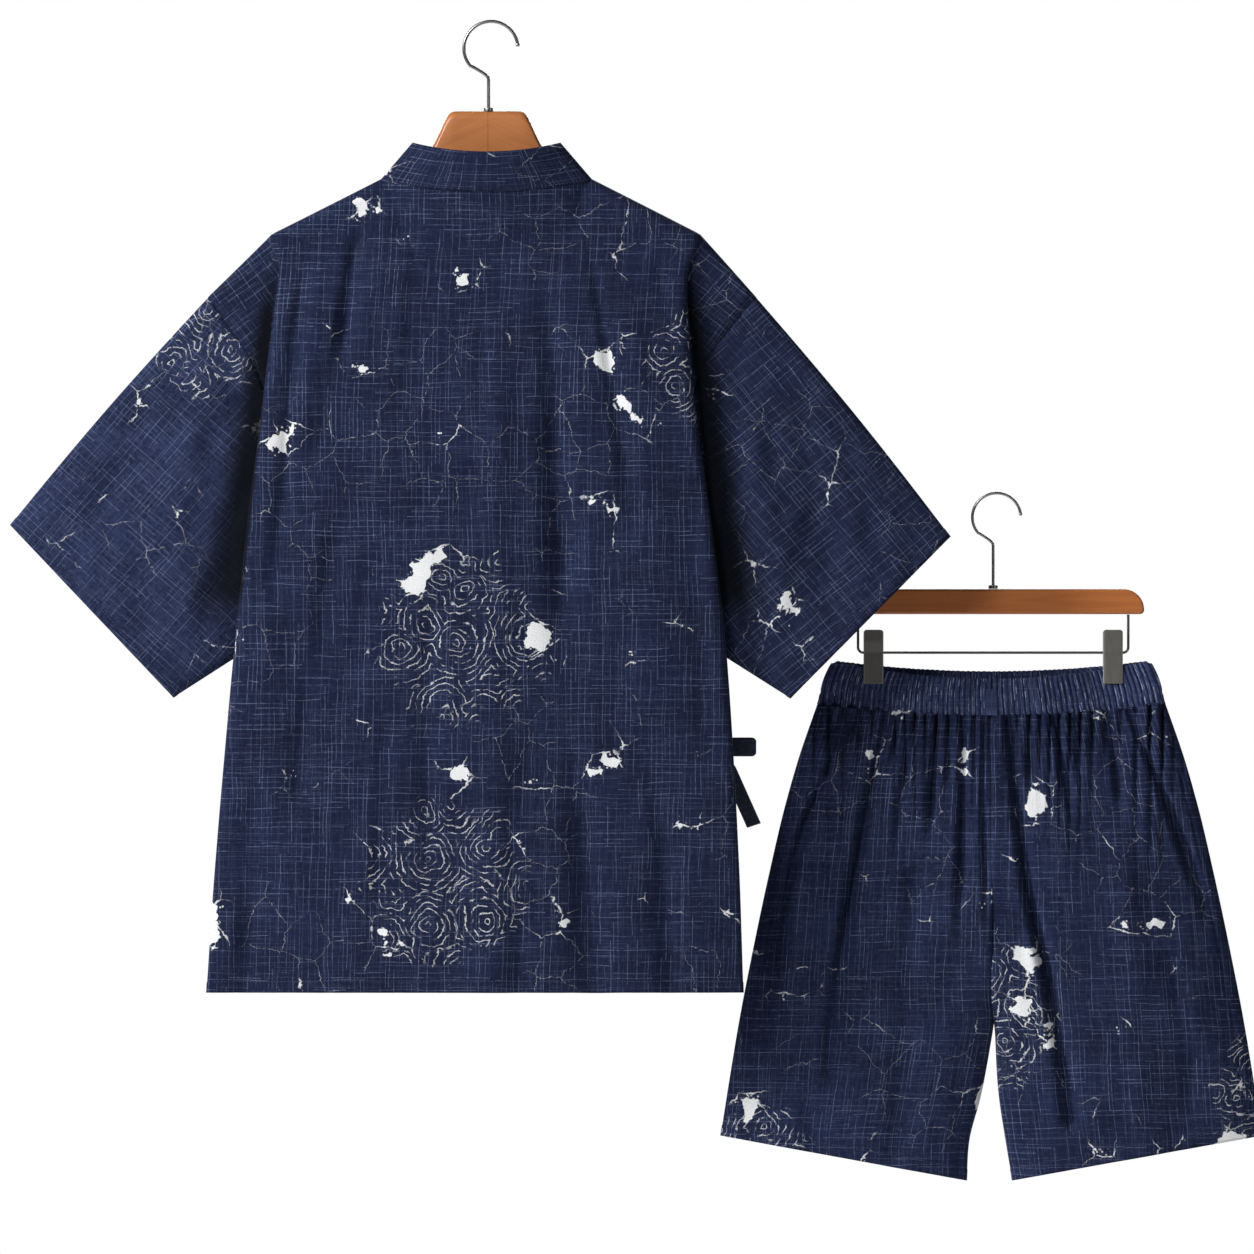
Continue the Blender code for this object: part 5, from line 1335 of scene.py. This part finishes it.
for angle in np.linspace(1.5 * math.pi, 2 * math.pi, 10):
    clip_wire.append((BAR_X + LEG_WIRE_X - wire_bend + wire_bend * math.cos(angle), SHORTS_Y,
                      LEG_WIRE_Z + wire_bend + wire_bend * math.sin(angle)))
clip_wire.append((BAR_X + LEG_WIRE_X, SHORTS_Y, under_bar))
dull_wire = bright_steel("dull steel wire", (0.20, 0.20, 0.20, 1.0), 0.34)
wire("small_hanger_wire", clip_wire, LEG_WIRE, dull_wire, "shorts_hanger_wire")


# The clips: two pressed jaws of grey-lacquered steel on each, their edges bent over for
# stiffness, hinged on the wire by a coil spring that closes them on the waistband.
CLIP_X = 0.1140
CLIP_HALF = 0.0092
CLIP_TOP = -0.5765
CLIP_FOOT = -0.6278
CLIP_WALL = 0.0014
BARREL_RADIUS = 0.0042
CLIP_GRIP = 0.0019 * 1.05 + 0.0022 / 2 + 0.0007 + GAP + CLIP_WALL / 2 + 0.0003
CLIP_LINE = (  # z, distance of the plate from the clip's middle
    (CLIP_TOP, 0.0078), (-0.5874, 0.0072), (LEG_WIRE_Z, BARREL_RADIUS + CLIP_WALL / 2 + GAP),
    (-0.6100, CLIP_GRIP), (CLIP_FOOT, CLIP_GRIP),
)

lacquer, lacquer_tree, lacquer_shader = new_material("grey lacquered steel", "clip_metal")
lacquer_at = node(lacquer_tree, "ShaderNodeTexCoord").outputs["Object"]
brushed_at = node(lacquer_tree, "ShaderNodeVectorMath", {0: lacquer_at, 1: (900.0, 900.0, 60.0)},
                  operation="MULTIPLY").outputs["Vector"]
brushed = noise(lacquer_tree, brushed_at, detail=3.0)
rubbed = noise(lacquer_tree, lacquer_at, scale=150.0, detail=4.0)
lacquer_tone = blend_colour(lacquer_tree, brushed, (0.112, 0.107, 0.096, 1.0),
                            (0.176, 0.168, 0.152, 1.0))
lacquer_tone = blend_colour(lacquer_tree, ramp(lacquer_tree, rubbed, 0.62, 0.75), lacquer_tone,
                            (0.16, 0.16, 0.152, 1.0))
lacquer_axes = node(lacquer_tree, "ShaderNodeSeparateXYZ", {"Vector": lacquer_at}).outputs
from_bar_middle = sum_of(lacquer_tree, "ABSOLUTE", sum_of(lacquer_tree, "SUBTRACT",
                                                          lacquer_axes["X"], BAR_X))
from_plate_middle = sum_of(lacquer_tree, "ABSOLUTE", sum_of(lacquer_tree, "SUBTRACT",
                                                            from_bar_middle, CLIP_X))
# The jaws' side edges are painted lighter: partly lacquer rubbed to bare steel, partly a painted
# highlight
worn_and_highlit_edge = ramp(lacquer_tree, from_plate_middle, CLIP_HALF - 0.0011, CLIP_HALF - 0.0003)
lacquer_tone = blend_colour(lacquer_tree, sum_of(lacquer_tree, "MULTIPLY", worn_and_highlit_edge, 0.75),
                            lacquer_tone, (0.42, 0.41, 0.38, 1.0))
lacquer_tree.links.new(lacquer_tone, lacquer_shader.inputs["Base Color"])
lacquer_tree.links.new(sum_of(lacquer_tree, "MULTIPLY_ADD", brushed, 0.25, 0.30),
                       lacquer_shader.inputs["Roughness"])
lacquer_bump = node(lacquer_tree, "ShaderNodeBump", {"Height": brushed, "Distance": 0.00006,
                                                     "Strength": 0.4})
lacquer_tree.links.new(lacquer_bump.outputs["Normal"], lacquer_shader.inputs["Normal"])
lacquer_shader.inputs["Metallic"].default_value = 0.15


def make_jaw(name, middle, facing, node_name):
    """One jaw: a pressed plate with rolled edges, open at the top, closing on the cloth."""
    line_z = np.array([spot_z for spot_z, _ in CLIP_LINE])
    apart = np.array([away for _, away in CLIP_LINE])
    grid = []
    for z in np.concatenate([np.linspace(CLIP_TOP, CLIP_TOP - 0.003, 6),
                             np.linspace(CLIP_TOP - 0.0045, CLIP_FOOT + 0.0015, 30),
                             np.linspace(CLIP_FOOT + 0.001, CLIP_FOOT, 3)]):
        corner = max(0.0, 1 - (CLIP_TOP - z) / 0.0026)
        half = CLIP_HALF - 0.0026 * (1 - math.sqrt(max(1 - corner ** 2, 0.0)))
        foot = max(0.0, 1 - (z - CLIP_FOOT) / 0.001)
        half -= 0.001 * (1 - math.sqrt(max(1 - foot ** 2, 0.0)))
        away = float(np.interp(-z, -line_z, apart))
        row = []
        for share in np.linspace(-1.0, 1.0, 17):
            lip = 0.0006 * ease((abs(share) - 0.80) / 0.20) * (1 - corner)
            row.append((middle + half * share, SHORTS_Y + facing * (away - lip), z))
        grid.append(row)
    rows, columns = len(grid), len(grid[0])
    faces = [(i * columns + j, i * columns + j + 1, (i + 1) * columns + j + 1,
              (i + 1) * columns + j) for i in range(rows - 1) for j in range(columns - 1)]
    mesh = bpy.data.meshes.new(name)
    mesh.from_pydata([corner for row in grid for corner in row], [], faces)
    piece = stand(name, mesh, lacquer, node_name)
    plate = piece.modifiers.new("plate", "SOLIDIFY")
    plate.thickness = CLIP_WALL
    plate.offset = 0.0
    return piece


def make_barrel(name, middle, node_name):
    """The coil spring round the wire, between the two jaws."""
    points = []
    turns = 5
    for degree in range(0, 360 * turns + 1, 15):
        angle = math.radians(degree)
        points.append((middle - 0.0062 + 0.0124 * degree / (360 * turns),
                       SHORTS_Y + 0.0035 * math.cos(angle), LEG_WIRE_Z + 0.0035 * math.sin(angle)))
    return wire(name, points, 0.0007, nickel, node_name)


for label, side in (("left", -1), ("right", 1)):
    clip_middle = BAR_X + side * CLIP_X
    make_jaw("clip_" + label + "_front_jaw", clip_middle, -1, "clip_" + label + "_near")
    make_jaw("clip_" + label + "_back_jaw", clip_middle, 1, "clip_" + label + "_far")
    make_barrel("clip_" + label + "_spring", clip_middle, "clip_" + label + "_barrel")


# The shorts' legs: two wide tubes of the same cotton, joined at the seat seam and gathered
# into the waistband. The gathers run down as deep uneven folds and open out towards the hems.
SHORTS_X = 0.4764
LEG_OUTLINE = (  # z, half width, half depth
    (-0.6451, 0.1645, 0.0100), (-0.6620, 0.1705, 0.0135), (-0.6908, 0.1805, 0.0175),
    (-0.7478, 0.1970, 0.0205), (-0.8048, 0.2104, 0.0215), (-0.8903, 0.2285, 0.0220),
    (-0.9473, 0.2395, 0.0220), (-1.0043, 0.2490, 0.0215), (-1.0584, 0.2575, 0.0200),
)
INSEAM = (  # z, inner edge of the left leg, inner edge of the right leg
    (-0.9454, 0.0030, 0.0034), (-1.0233, -0.0115, 0.0080), (-1.0613, -0.0215, 0.0138),
    (-1.1011, -0.0243, 0.0204),
)
CROTCH_Z = -0.9454
CROTCH_RUN = 0.150
HEM_OUTER_Z = -1.0584
HEM_INNER_Z = -1.1011
SEAT_SEAM_NEAR = -0.6560
SEAT_SEAM_FAR = -0.6500
SEAT_SEAM_SIDE = -0.6455
WAIST_HALF = 0.1518
WAIST_PLAN = (  # distance from the middle, half depth
    (0.0000, 0.0150), (0.0400, 0.0128), (0.0800, 0.0065), (0.0980, 0.0019), (0.1290, 0.0019),
    (0.1400, 0.0040), (0.1480, 0.0036), (0.1508, 0.0026), (0.1518, 0.0000),
)
LEG_LENGTH = 0.455
LEG_AROUND = 236
LEG_TURN = 0.0115
LEG_LEAST_HALF = 0.0009
PUCKER_PITCH = 0.0115
PUCKER_RISE = 0.0036
PUCKER_RISE_SWING = 0.0014
PUCKER_RUN = 0.044
PUCKER_RUN_SWING = 0.018
NEAR_GATHERS = (
    (0.0070, 0.0087, 0.9, ((0.345, -0.650), (0.320, -0.705), (0.294, -0.765), (0.274, -0.850),
                           (0.268, -0.920))),
    (0.0080, 0.0099, 0.9, ((0.378, -0.650), (0.364, -0.705), (0.349, -0.775), (0.335, -0.850),
                           (0.322, -0.950), (0.318, -1.010))),
    (0.0048, 0.0043, 0.9, ((0.404, -0.650), (0.396, -0.690), (0.387, -0.740), (0.384, -0.800))),
    (0.0050, 0.0067, 0.9, ((0.4245, -0.650), (0.4205, -0.690), (0.417, -0.745),
                           (0.415, -0.790))),
    (0.0056, 0.0072, 0.9, ((0.4490, -0.650), (0.4470, -0.730), (0.4440, -0.820),
                           (0.4420, -0.890))),
    (0.0040, 0.0043, 0.9, ((0.4680, -0.652), (0.4665, -0.740), (0.4690, -0.830),
                           (0.4700, -0.880))),
    (0.0072, 0.0096, 0.9, ((0.4890, -0.650), (0.4980, -0.745), (0.5080, -0.825),
                           (0.5270, -0.905), (0.5420, -0.990), (0.5500, -1.060))),
    (0.0042, 0.0038, 0.9, ((0.5110, -0.650), (0.5100, -0.690), (0.5110, -0.735))),
    (0.0052, 0.0067, 0.9, ((0.5330, -0.650), (0.5410, -0.700), (0.5500, -0.765))),
    (0.0042, 0.0052, 0.9, ((0.5550, -0.650), (0.5550, -0.685), (0.5560, -0.725))),
    (0.0036, 0.0026, 0.9, ((0.5700, -0.650), (0.5690, -0.680), (0.5680, -0.705))),
    (0.0050, 0.0052, 0.9, ((0.5850, -0.648), (0.5920, -0.700), (0.5980, -0.760))),
    (0.0064, 0.0081, 0.9, ((0.6040, -0.648), (0.6240, -0.700), (0.6480, -0.760),
                           (0.6730, -0.830), (0.6830, -0.880))),
    (0.0034, 0.0038, 0.8, ((0.352, -0.648), (0.338, -0.680), (0.326, -0.705))),
    (0.0036, 0.0041, 0.8, ((0.391, -0.650), (0.383, -0.685), (0.374, -0.720))),
    (0.0040, 0.0035, 0.8, ((0.436, -0.650), (0.434, -0.700), (0.432, -0.740))),
    (0.0160, 0.0030, 0.6, ((0.400, -0.800), (0.392, -0.900), (0.386, -1.000), (0.384, -1.090))),
    (0.0160, -0.0036, 0.0, ((0.300, -0.800), (0.292, -0.900), (0.284, -1.000),
                            (0.280, -1.090))),
    (0.0150, 0.0030, 0.6, ((0.640, -0.880), (0.656, -0.960), (0.662, -1.060))),
    (0.0150, -0.0030, 0.0, ((0.596, -0.760), (0.610, -0.880), (0.618, -1.000),
                            (0.624, -1.090))),
)
FAR_GATHERS = (
    (0.0070, 0.0084, -0.9, ((0.352, -0.650), (0.330, -0.710), (0.306, -0.790), (0.292, -0.900))),
    (0.0060, 0.0072, -0.9, ((0.388, -0.650), (0.376, -0.720), (0.366, -0.820))),
    (0.0060, 0.0067, 0.9, ((0.414, -0.650), (0.408, -0.720), (0.402, -0.800), (0.396, -0.960))),
    (0.0050, 0.0064, 0.9, ((0.440, -0.650), (0.438, -0.740), (0.432, -0.830))),
    (0.0044, 0.0049, 0.9, ((0.460, -0.650), (0.459, -0.700), (0.458, -0.770))),
    (0.0060, 0.0075, -0.9, ((0.494, -0.650), (0.500, -0.740), (0.512, -0.860), (0.520, -0.980))),
    (0.0050, 0.0058, 0.9, ((0.520, -0.650), (0.524, -0.710), (0.530, -0.780))),
    (0.0060, 0.0072, 0.9, ((0.546, -0.650), (0.556, -0.720), (0.566, -0.830), (0.572, -0.950))),
    (0.0050, 0.0058, -0.9, ((0.574, -0.650), (0.584, -0.710), (0.594, -0.790))),
    (0.0068, 0.0081, 0.9, ((0.600, -0.650), (0.618, -0.710), (0.642, -0.790), (0.662, -0.900))),
)


def waist_depth(out):
    """Half depth of the waist in plan: nipped by the clips, bowed between them."""
    keys = [row[0] for row in WAIST_PLAN]
    return np.interp(np.abs(out), keys, [row[1] for row in WAIST_PLAN])


def leg_drops():
    """Drops of the rows of a leg: close together at the waist seam and at the hem."""
    body = np.linspace(0.0, LEG_LENGTH - LEG_TURN - 0.001, 118)
    hem = [LEG_LENGTH - LEG_TURN, LEG_LENGTH - LEG_TURN + 0.001, LEG_LENGTH - 0.007,
           LEG_LENGTH - 0.003, LEG_LENGTH]
    return np.concatenate([[0.0, 0.0012, 0.0025], body[1:], hem])


def leg_grid(side):
    """One leg: from the seat seam round the side and back; closed below the crotch."""
    half = LEG_AROUND // 2
    column = np.arange(LEG_AROUND + 1)
    near = column <= half
    step = np.where(near, column, LEG_AROUND - column)
    lean = np.sin(math.pi / 2 * step / half)
    facing = np.where(near, -1.0, 1.0)
    rows = []
    flats = []
    for drop in LEG_DROPS:
        share = drop / LEG_LENGTH
        seam = np.where(near, SEAT_SEAM_NEAR, SEAT_SEAM_FAR)
        top = mix(seam, SEAT_SEAM_SIDE, lean ** 2)
        z = mix(top, mix(HEM_INNER_Z, HEM_OUTER_Z, lean), share)
        outer = look_up(LEG_OUTLINE, z)
        inner_edge = look_up(INSEAM, np.minimum(z, CROTCH_Z), 1 if side < 0 else 2)
        split = ease((CROTCH_Z - z + 0.03) / 0.05)
        inner_edge = side * inner_edge * split - 0.0003
        run = np.maximum(CROTCH_RUN - (z - CROTCH_Z), 0.0) / CROTCH_RUN
        open_way = np.where(z > CROTCH_Z, np.sqrt(np.maximum(1 - run ** 2, 0.0)), 0.0)
        middle = 0.42
        beyond = np.sqrt(np.maximum(1 - ((lean - middle) / (1 - middle)) ** 2, 0.0))
        q = (middle - lean) / middle
        within = np.sqrt(np.maximum(1 - q * q * (1 - open_way ** 2), 0.0))
        bulge = np.where(lean >= middle, beyond, within)
        deep = look_up(LEG_OUTLINE, z, 2)
        base = mix(waist_depth(lean * WAIST_HALF), deep * bulge, ease(drop / 0.10))
        x = SHORTS_X + side * mix(inner_edge, outer, lean)
        folds = np.where(near, crease_rise(NEAR_GATHERS, x, z, 0.03, 0.65),
                         crease_rise(FAR_GATHERS, x, z, 0.03, 0.65))
        folds = folds + rumple(x, z, 31 + side, 0.0007)
        folds = folds - 0.0008 * np.exp(-((lean - 0.955) / 0.008) ** 2)
        pucker = np.sin(2 * math.pi * (x - SHORTS_X) / PUCKER_PITCH + 2.6 * np.sin(47.0 * x))
        pucker = 0.9 - 2.2 * np.exp(-((1 + pucker) / 0.55) ** 2)
        pucker_rise = PUCKER_RISE + PUCKER_RISE_SWING * np.sin(61.0 * x)
        pucker_run = PUCKER_RUN + PUCKER_RUN_SWING * np.sin(83.0 * x)
        pucker = pucker_rise * pucker * np.exp(-drop / pucker_run) * ease(drop / 0.006 + 0.35)
        pucker = pucker * (1 + 0.8 * ease((np.abs(x - SHORTS_X) - 0.06) / 0.03))
        folds = folds * ease(drop / 0.012 + 0.30) + pucker
        folds = folds * np.where(folds > 0, ease((1 - lean) / 0.05), np.minimum(base / 0.006, 1.0))
        depth = np.maximum(base + folds, LEG_LEAST_HALF)
        depth[half] = 0.0
        rows.append(np.stack([x, SHORTS_Y + facing * depth, z], axis=-1))
        reach = side * np.where(near, lean, 2 - lean) * 0.25
        flats.append(np.stack([reach * (0.8 + 0.2 * share), z], axis=-1))
    return np.array(rows), np.array(flats)


LEG_DROPS = leg_drops()
leg_left, leg_left_flat = leg_grid(-1)
leg_right, leg_right_flat = leg_grid(1)
leg_hem = range(len(LEG_DROPS) - 4, len(LEG_DROPS))
SHORTS_GROUND = (0.0140, 0.0215, 0.0640, 1.0)
# Painted light: the left leg's ground is lighter than the right one's, making up for the shade that
# falls on it
LEFT_LEG_LIT_GROUND = (0.0170, 0.0255, 0.0740, 1.0)
left_leg_cotton = navy_cotton("navy slub cotton, left leg", (9.15, 5.40, 0.0),
                              ground=LEFT_LEG_LIT_GROUND)
right_leg_cotton = navy_cotton("navy slub cotton, right leg", (4.40, 7.10, 0.0),
                               ground=SHORTS_GROUND)
left_leg, left_leg_area = cloth("leg_left", leg_left[:, ::-1], leg_left_flat[:, ::-1],
                                left_leg_cotton, "shorts_leg_left", doubled=leg_hem)
right_leg, right_leg_area = cloth("leg_right", leg_right, leg_right_flat, right_leg_cotton,
                                  "shorts_leg_right", doubled=leg_hem)


# The waistband: a doubled band of the cotton drawn up on wide elastic, so it stands in fine
# upright ribs. The elastic's ends meet under a small stitched square at the middle.
WAIST_TOP_SIDE = -0.6058
WAIST_TOP_NEAR = -0.6233
WAIST_TOP_FAR = -0.6162
WAIST_WALL = 0.0022
RIBS = 128
RIB_RISE = 0.0019
RIB_STEPS = 8
RIB_CUT = 0.0060
BAND_ROWS = 14
PATCH_HALF = 0.0050
BAND_BULGE = 0.0020
BAND_SEWN_SHARE = 0.71
BAND_SEWN_SPREAD = 0.045
BAND_GROUND = (0.0440, 0.0610, 0.1500, 1.0)
BAND_SHADE = (0.0200, 0.0290, 0.0800, 1.0)
BAND_THREAD = (0.46, 0.55, 0.80, 1.0)
BAND_VALLEY_SHADE = (0.0030, 0.0045, 0.0120, 1.0)

plan = np.array(WAIST_PLAN)
plan_run = np.concatenate([[0.0], np.cumsum(np.hypot(*np.diff(plan, axis=0).T))])
quarter = RIBS * RIB_STEPS // 4
plan_ways = (np.arange(quarter) + 0.5) / quarter * plan_run[-1]
plan_out = np.interp(plan_ways, plan_run, plan[:, 0])
plan_depth = np.interp(plan_ways, plan_run, plan[:, 1])
waist_out = np.concatenate([plan_out, plan_out[::-1], -plan_out, -plan_out[::-1]])
waist_y = np.concatenate([-plan_depth, plan_depth[::-1], plan_depth, -plan_depth[::-1]])
waist_way = np.arange(len(waist_out)) / RIB_STEPS
waist_near = waist_y < 0
rib_random = np.random.default_rng(5)
rib_gain = np.interp(waist_way, np.arange(RIBS + 1), rib_random.uniform(0.55, 1.3, RIBS + 1))
rib_slip = np.interp(waist_way, np.arange(RIBS + 1), rib_random.uniform(-0.16, 0.16, RIBS + 1))
band_outer = []
band_inner = []
band_marks = []
for row in range(BAND_ROWS + 1):
    share = row / BAND_ROWS
    along = np.abs(waist_out) / WAIST_HALF
    top_z = mix(np.where(waist_near, WAIST_TOP_NEAR, WAIST_TOP_FAR), WAIST_TOP_SIDE, along ** 2)
    low_z = mix(np.where(waist_near, SEAT_SEAM_NEAR, SEAT_SEAM_FAR), SEAT_SEAM_SIDE,
                along ** 2) - 0.0012
    top_z = top_z - 0.0030 * ease((along - 0.965) / 0.035)
    z = mix(top_z, low_z, share)
    bulge = BAND_BULGE * math.sin(math.pi * min(share / 0.9, 1.0))
    half = mix(WAIST_HALF, LEG_OUTLINE[0][1], share) + bulge
    x = SHORTS_X + waist_out * half / WAIST_HALF
    y = SHORTS_Y + waist_y
    ahead = np.stack([np.roll(x, -1) - np.roll(x, 1), np.roll(y, -1) - np.roll(y, 1)], axis=-1)
    outward = np.stack([ahead[:, 1], -ahead[:, 0]], axis=-1)
    outward /= np.maximum(np.linalg.norm(outward, axis=-1, keepdims=True), 1e-9)
    if outward[np.argmin(y), 1] > 0:
        outward = -outward
    slant = 0.12 * math.sin(3.0 * share + 1.0)
    rib_phase = waist_way + rib_slip + slant
    rib = rib_gain * np.abs(np.sin(math.pi * rib_phase)) - 0.35
    stitched = math.exp(-((share - BAND_SEWN_SHARE) / BAND_SEWN_SPREAD) ** 2)
    waisted = 1.0 - 0.65 * stitched
    edge_fade = min(1.0, 0.60 + share / 0.12)
    in_patch = (np.abs(x - SHORTS_X) < PATCH_HALF) & waist_near & (share > 0.32)
    rib = np.where(in_patch, 0.55, rib * waisted * edge_fade)
    lift = WAIST_WALL / 2 + RIB_RISE * np.maximum(rib, -0.4) - 0.0004 * stitched
    z = z + rib * (0.0009 * math.exp(-share / 0.05) - 0.0011 * math.exp((share - 1) / 0.05))
    band_outer.append(np.stack([x + outward[:, 0] * lift, y + outward[:, 1] * lift, z], axis=-1))
    band_inner.append(np.stack([x - outward[:, 0] * WAIST_WALL / 2,
                                y - outward[:, 1] * WAIST_WALL / 2, z], axis=-1))
    patch_phase = 0.0
    if in_patch.any():
        patch_phase = math.floor(float(np.median(rib_phase[in_patch]))) + 0.5
    rib_phase = np.where(in_patch, patch_phase, rib_phase)
    band_marks.append(np.stack([rib_phase * RIB_CUT, z], axis=-1))
band_shell = np.concatenate([np.array(band_outer), np.array(band_inner)[::-1]], axis=0)
shell_rows, shell_columns = band_shell.shape[:2]
i, j = np.meshgrid(np.arange(shell_rows), np.arange(shell_columns), indexing="ij")
i = i.ravel()
j = j.ravel()
n = (i + 1) % shell_rows
k = (j + 1) % shell_columns
band_faces = np.stack([i * shell_columns + j, n * shell_columns + j, n * shell_columns + k,
                       i * shell_columns + k], axis=-1)
band_mesh = bpy.data.meshes.new("waistband")
band_mesh.from_pydata(band_shell.reshape(-1, 3).tolist(), [], band_faces.tolist())
shell_marks = np.concatenate([np.array(band_marks), np.array(band_marks)[::-1]], axis=0)
wrap = np.stack([(k == 0) * RIBS * RIB_CUT, np.zeros(len(k))], axis=-1)
corner_uv = np.stack([shell_marks[i, j], shell_marks[n, j], shell_marks[n, k] + wrap,
                      shell_marks[i, k] + wrap], axis=1)
band_layer = band_mesh.uv_layers.new(name="cut")
band_layer.data.foreach_set("uv", corner_uv.reshape(-1).astype(np.float32))
band_bmesh = bmesh.new()
band_bmesh.from_mesh(band_mesh)
bmesh.ops.recalc_face_normals(band_bmesh, faces=band_bmesh.faces)
band_bmesh.to_mesh(band_mesh)
band_bmesh.free()
band_cotton, band_tree, band_shader = new_material("navy slub cotton, drawn up", "waistband")
band_map = node(band_tree, "ShaderNodeUVMap", uv_map="cut").outputs["UV"]
band_axes = node(band_tree, "ShaderNodeSeparateXYZ", {"Vector": band_map}).outputs
band_weave = place_group(band_tree, cotton_group, {
    "Map": band_map, "Ground": BAND_GROUND, "Shade": BAND_SHADE, "Slub": SLUB,
    "Slub share": 0.22})
band_dash = place_group(band_tree, thread_group, {
    "Across": band_axes["X"], "Along": band_axes["Y"], "Pitch": RIB_CUT / 2, "Length": 0.0065,
    "Width": 0.17, "Share": 0.62, "Seed": 21.0})["Thread"]
# Painted shade: the colour darkens into the valleys between the ribs
band_ridge = sum_of(band_tree, "ABSOLUTE", sum_of(band_tree, "SINE", sum_of(
    band_tree, "MULTIPLY", band_axes["X"], math.pi / RIB_CUT)))
band_lit = blend_colour(band_tree, band_dash, band_weave["Colour"], BAND_THREAD)
band_valley_shade = sum_of(band_tree, "SUBTRACT", 1.0, ramp(band_tree, band_ridge, 0.08, 0.48))
band_valley_shade = sum_of(band_tree, "MULTIPLY", band_valley_shade, 0.88)
band_tree.links.new(blend_colour(band_tree, band_valley_shade, band_lit, BAND_VALLEY_SHADE),
                    band_shader.inputs["Base Color"])
band_tree.links.new(sum_of(band_tree, "MULTIPLY_ADD", band_ridge, -0.08, 0.90),
                    band_shader.inputs["Roughness"])
band_bump = node(band_tree, "ShaderNodeBump", {"Height": band_weave["Height"],
                                               "Distance": 0.0004, "Strength": 0.5})
band_tree.links.new(band_bump.outputs["Normal"], band_shader.inputs["Normal"])
band_shader.inputs["Specular IOR Level"].default_value = 0.12
band_shader.inputs["Sheen Weight"].default_value = 0.05
waistband = stand("waistband", band_mesh, band_cotton, "shorts_waistband", crisp=80)


# The shorts' sewing: one row of stitches low along the near face of the band, and one row
# that closes each hem, front and back.
near_band = np.nonzero(waist_near)[0]
near_band = near_band[np.argsort(waist_out[near_band])][10:-10]
band_low = np.array(band_outer)[BAND_ROWS - 4, near_band]
band_low = band_low[::RIB_STEPS // 2]
shorts_runs = [(band_low, (0, -1, 0), 0.0001)]
leg_row = len(LEG_DROPS) - 5
half_round = LEG_AROUND // 2
for grid in (leg_left, leg_right):
    shorts_runs.append((grid[leg_row, 3:half_round - 3], (0, -1, 0), half_wall))
    shorts_runs.append((grid[leg_row, half_round + 4:-3], (0, 1, 0), half_wall))
shorts_stitches = sew("shorts_stitches", shorts_runs, navy_thread)
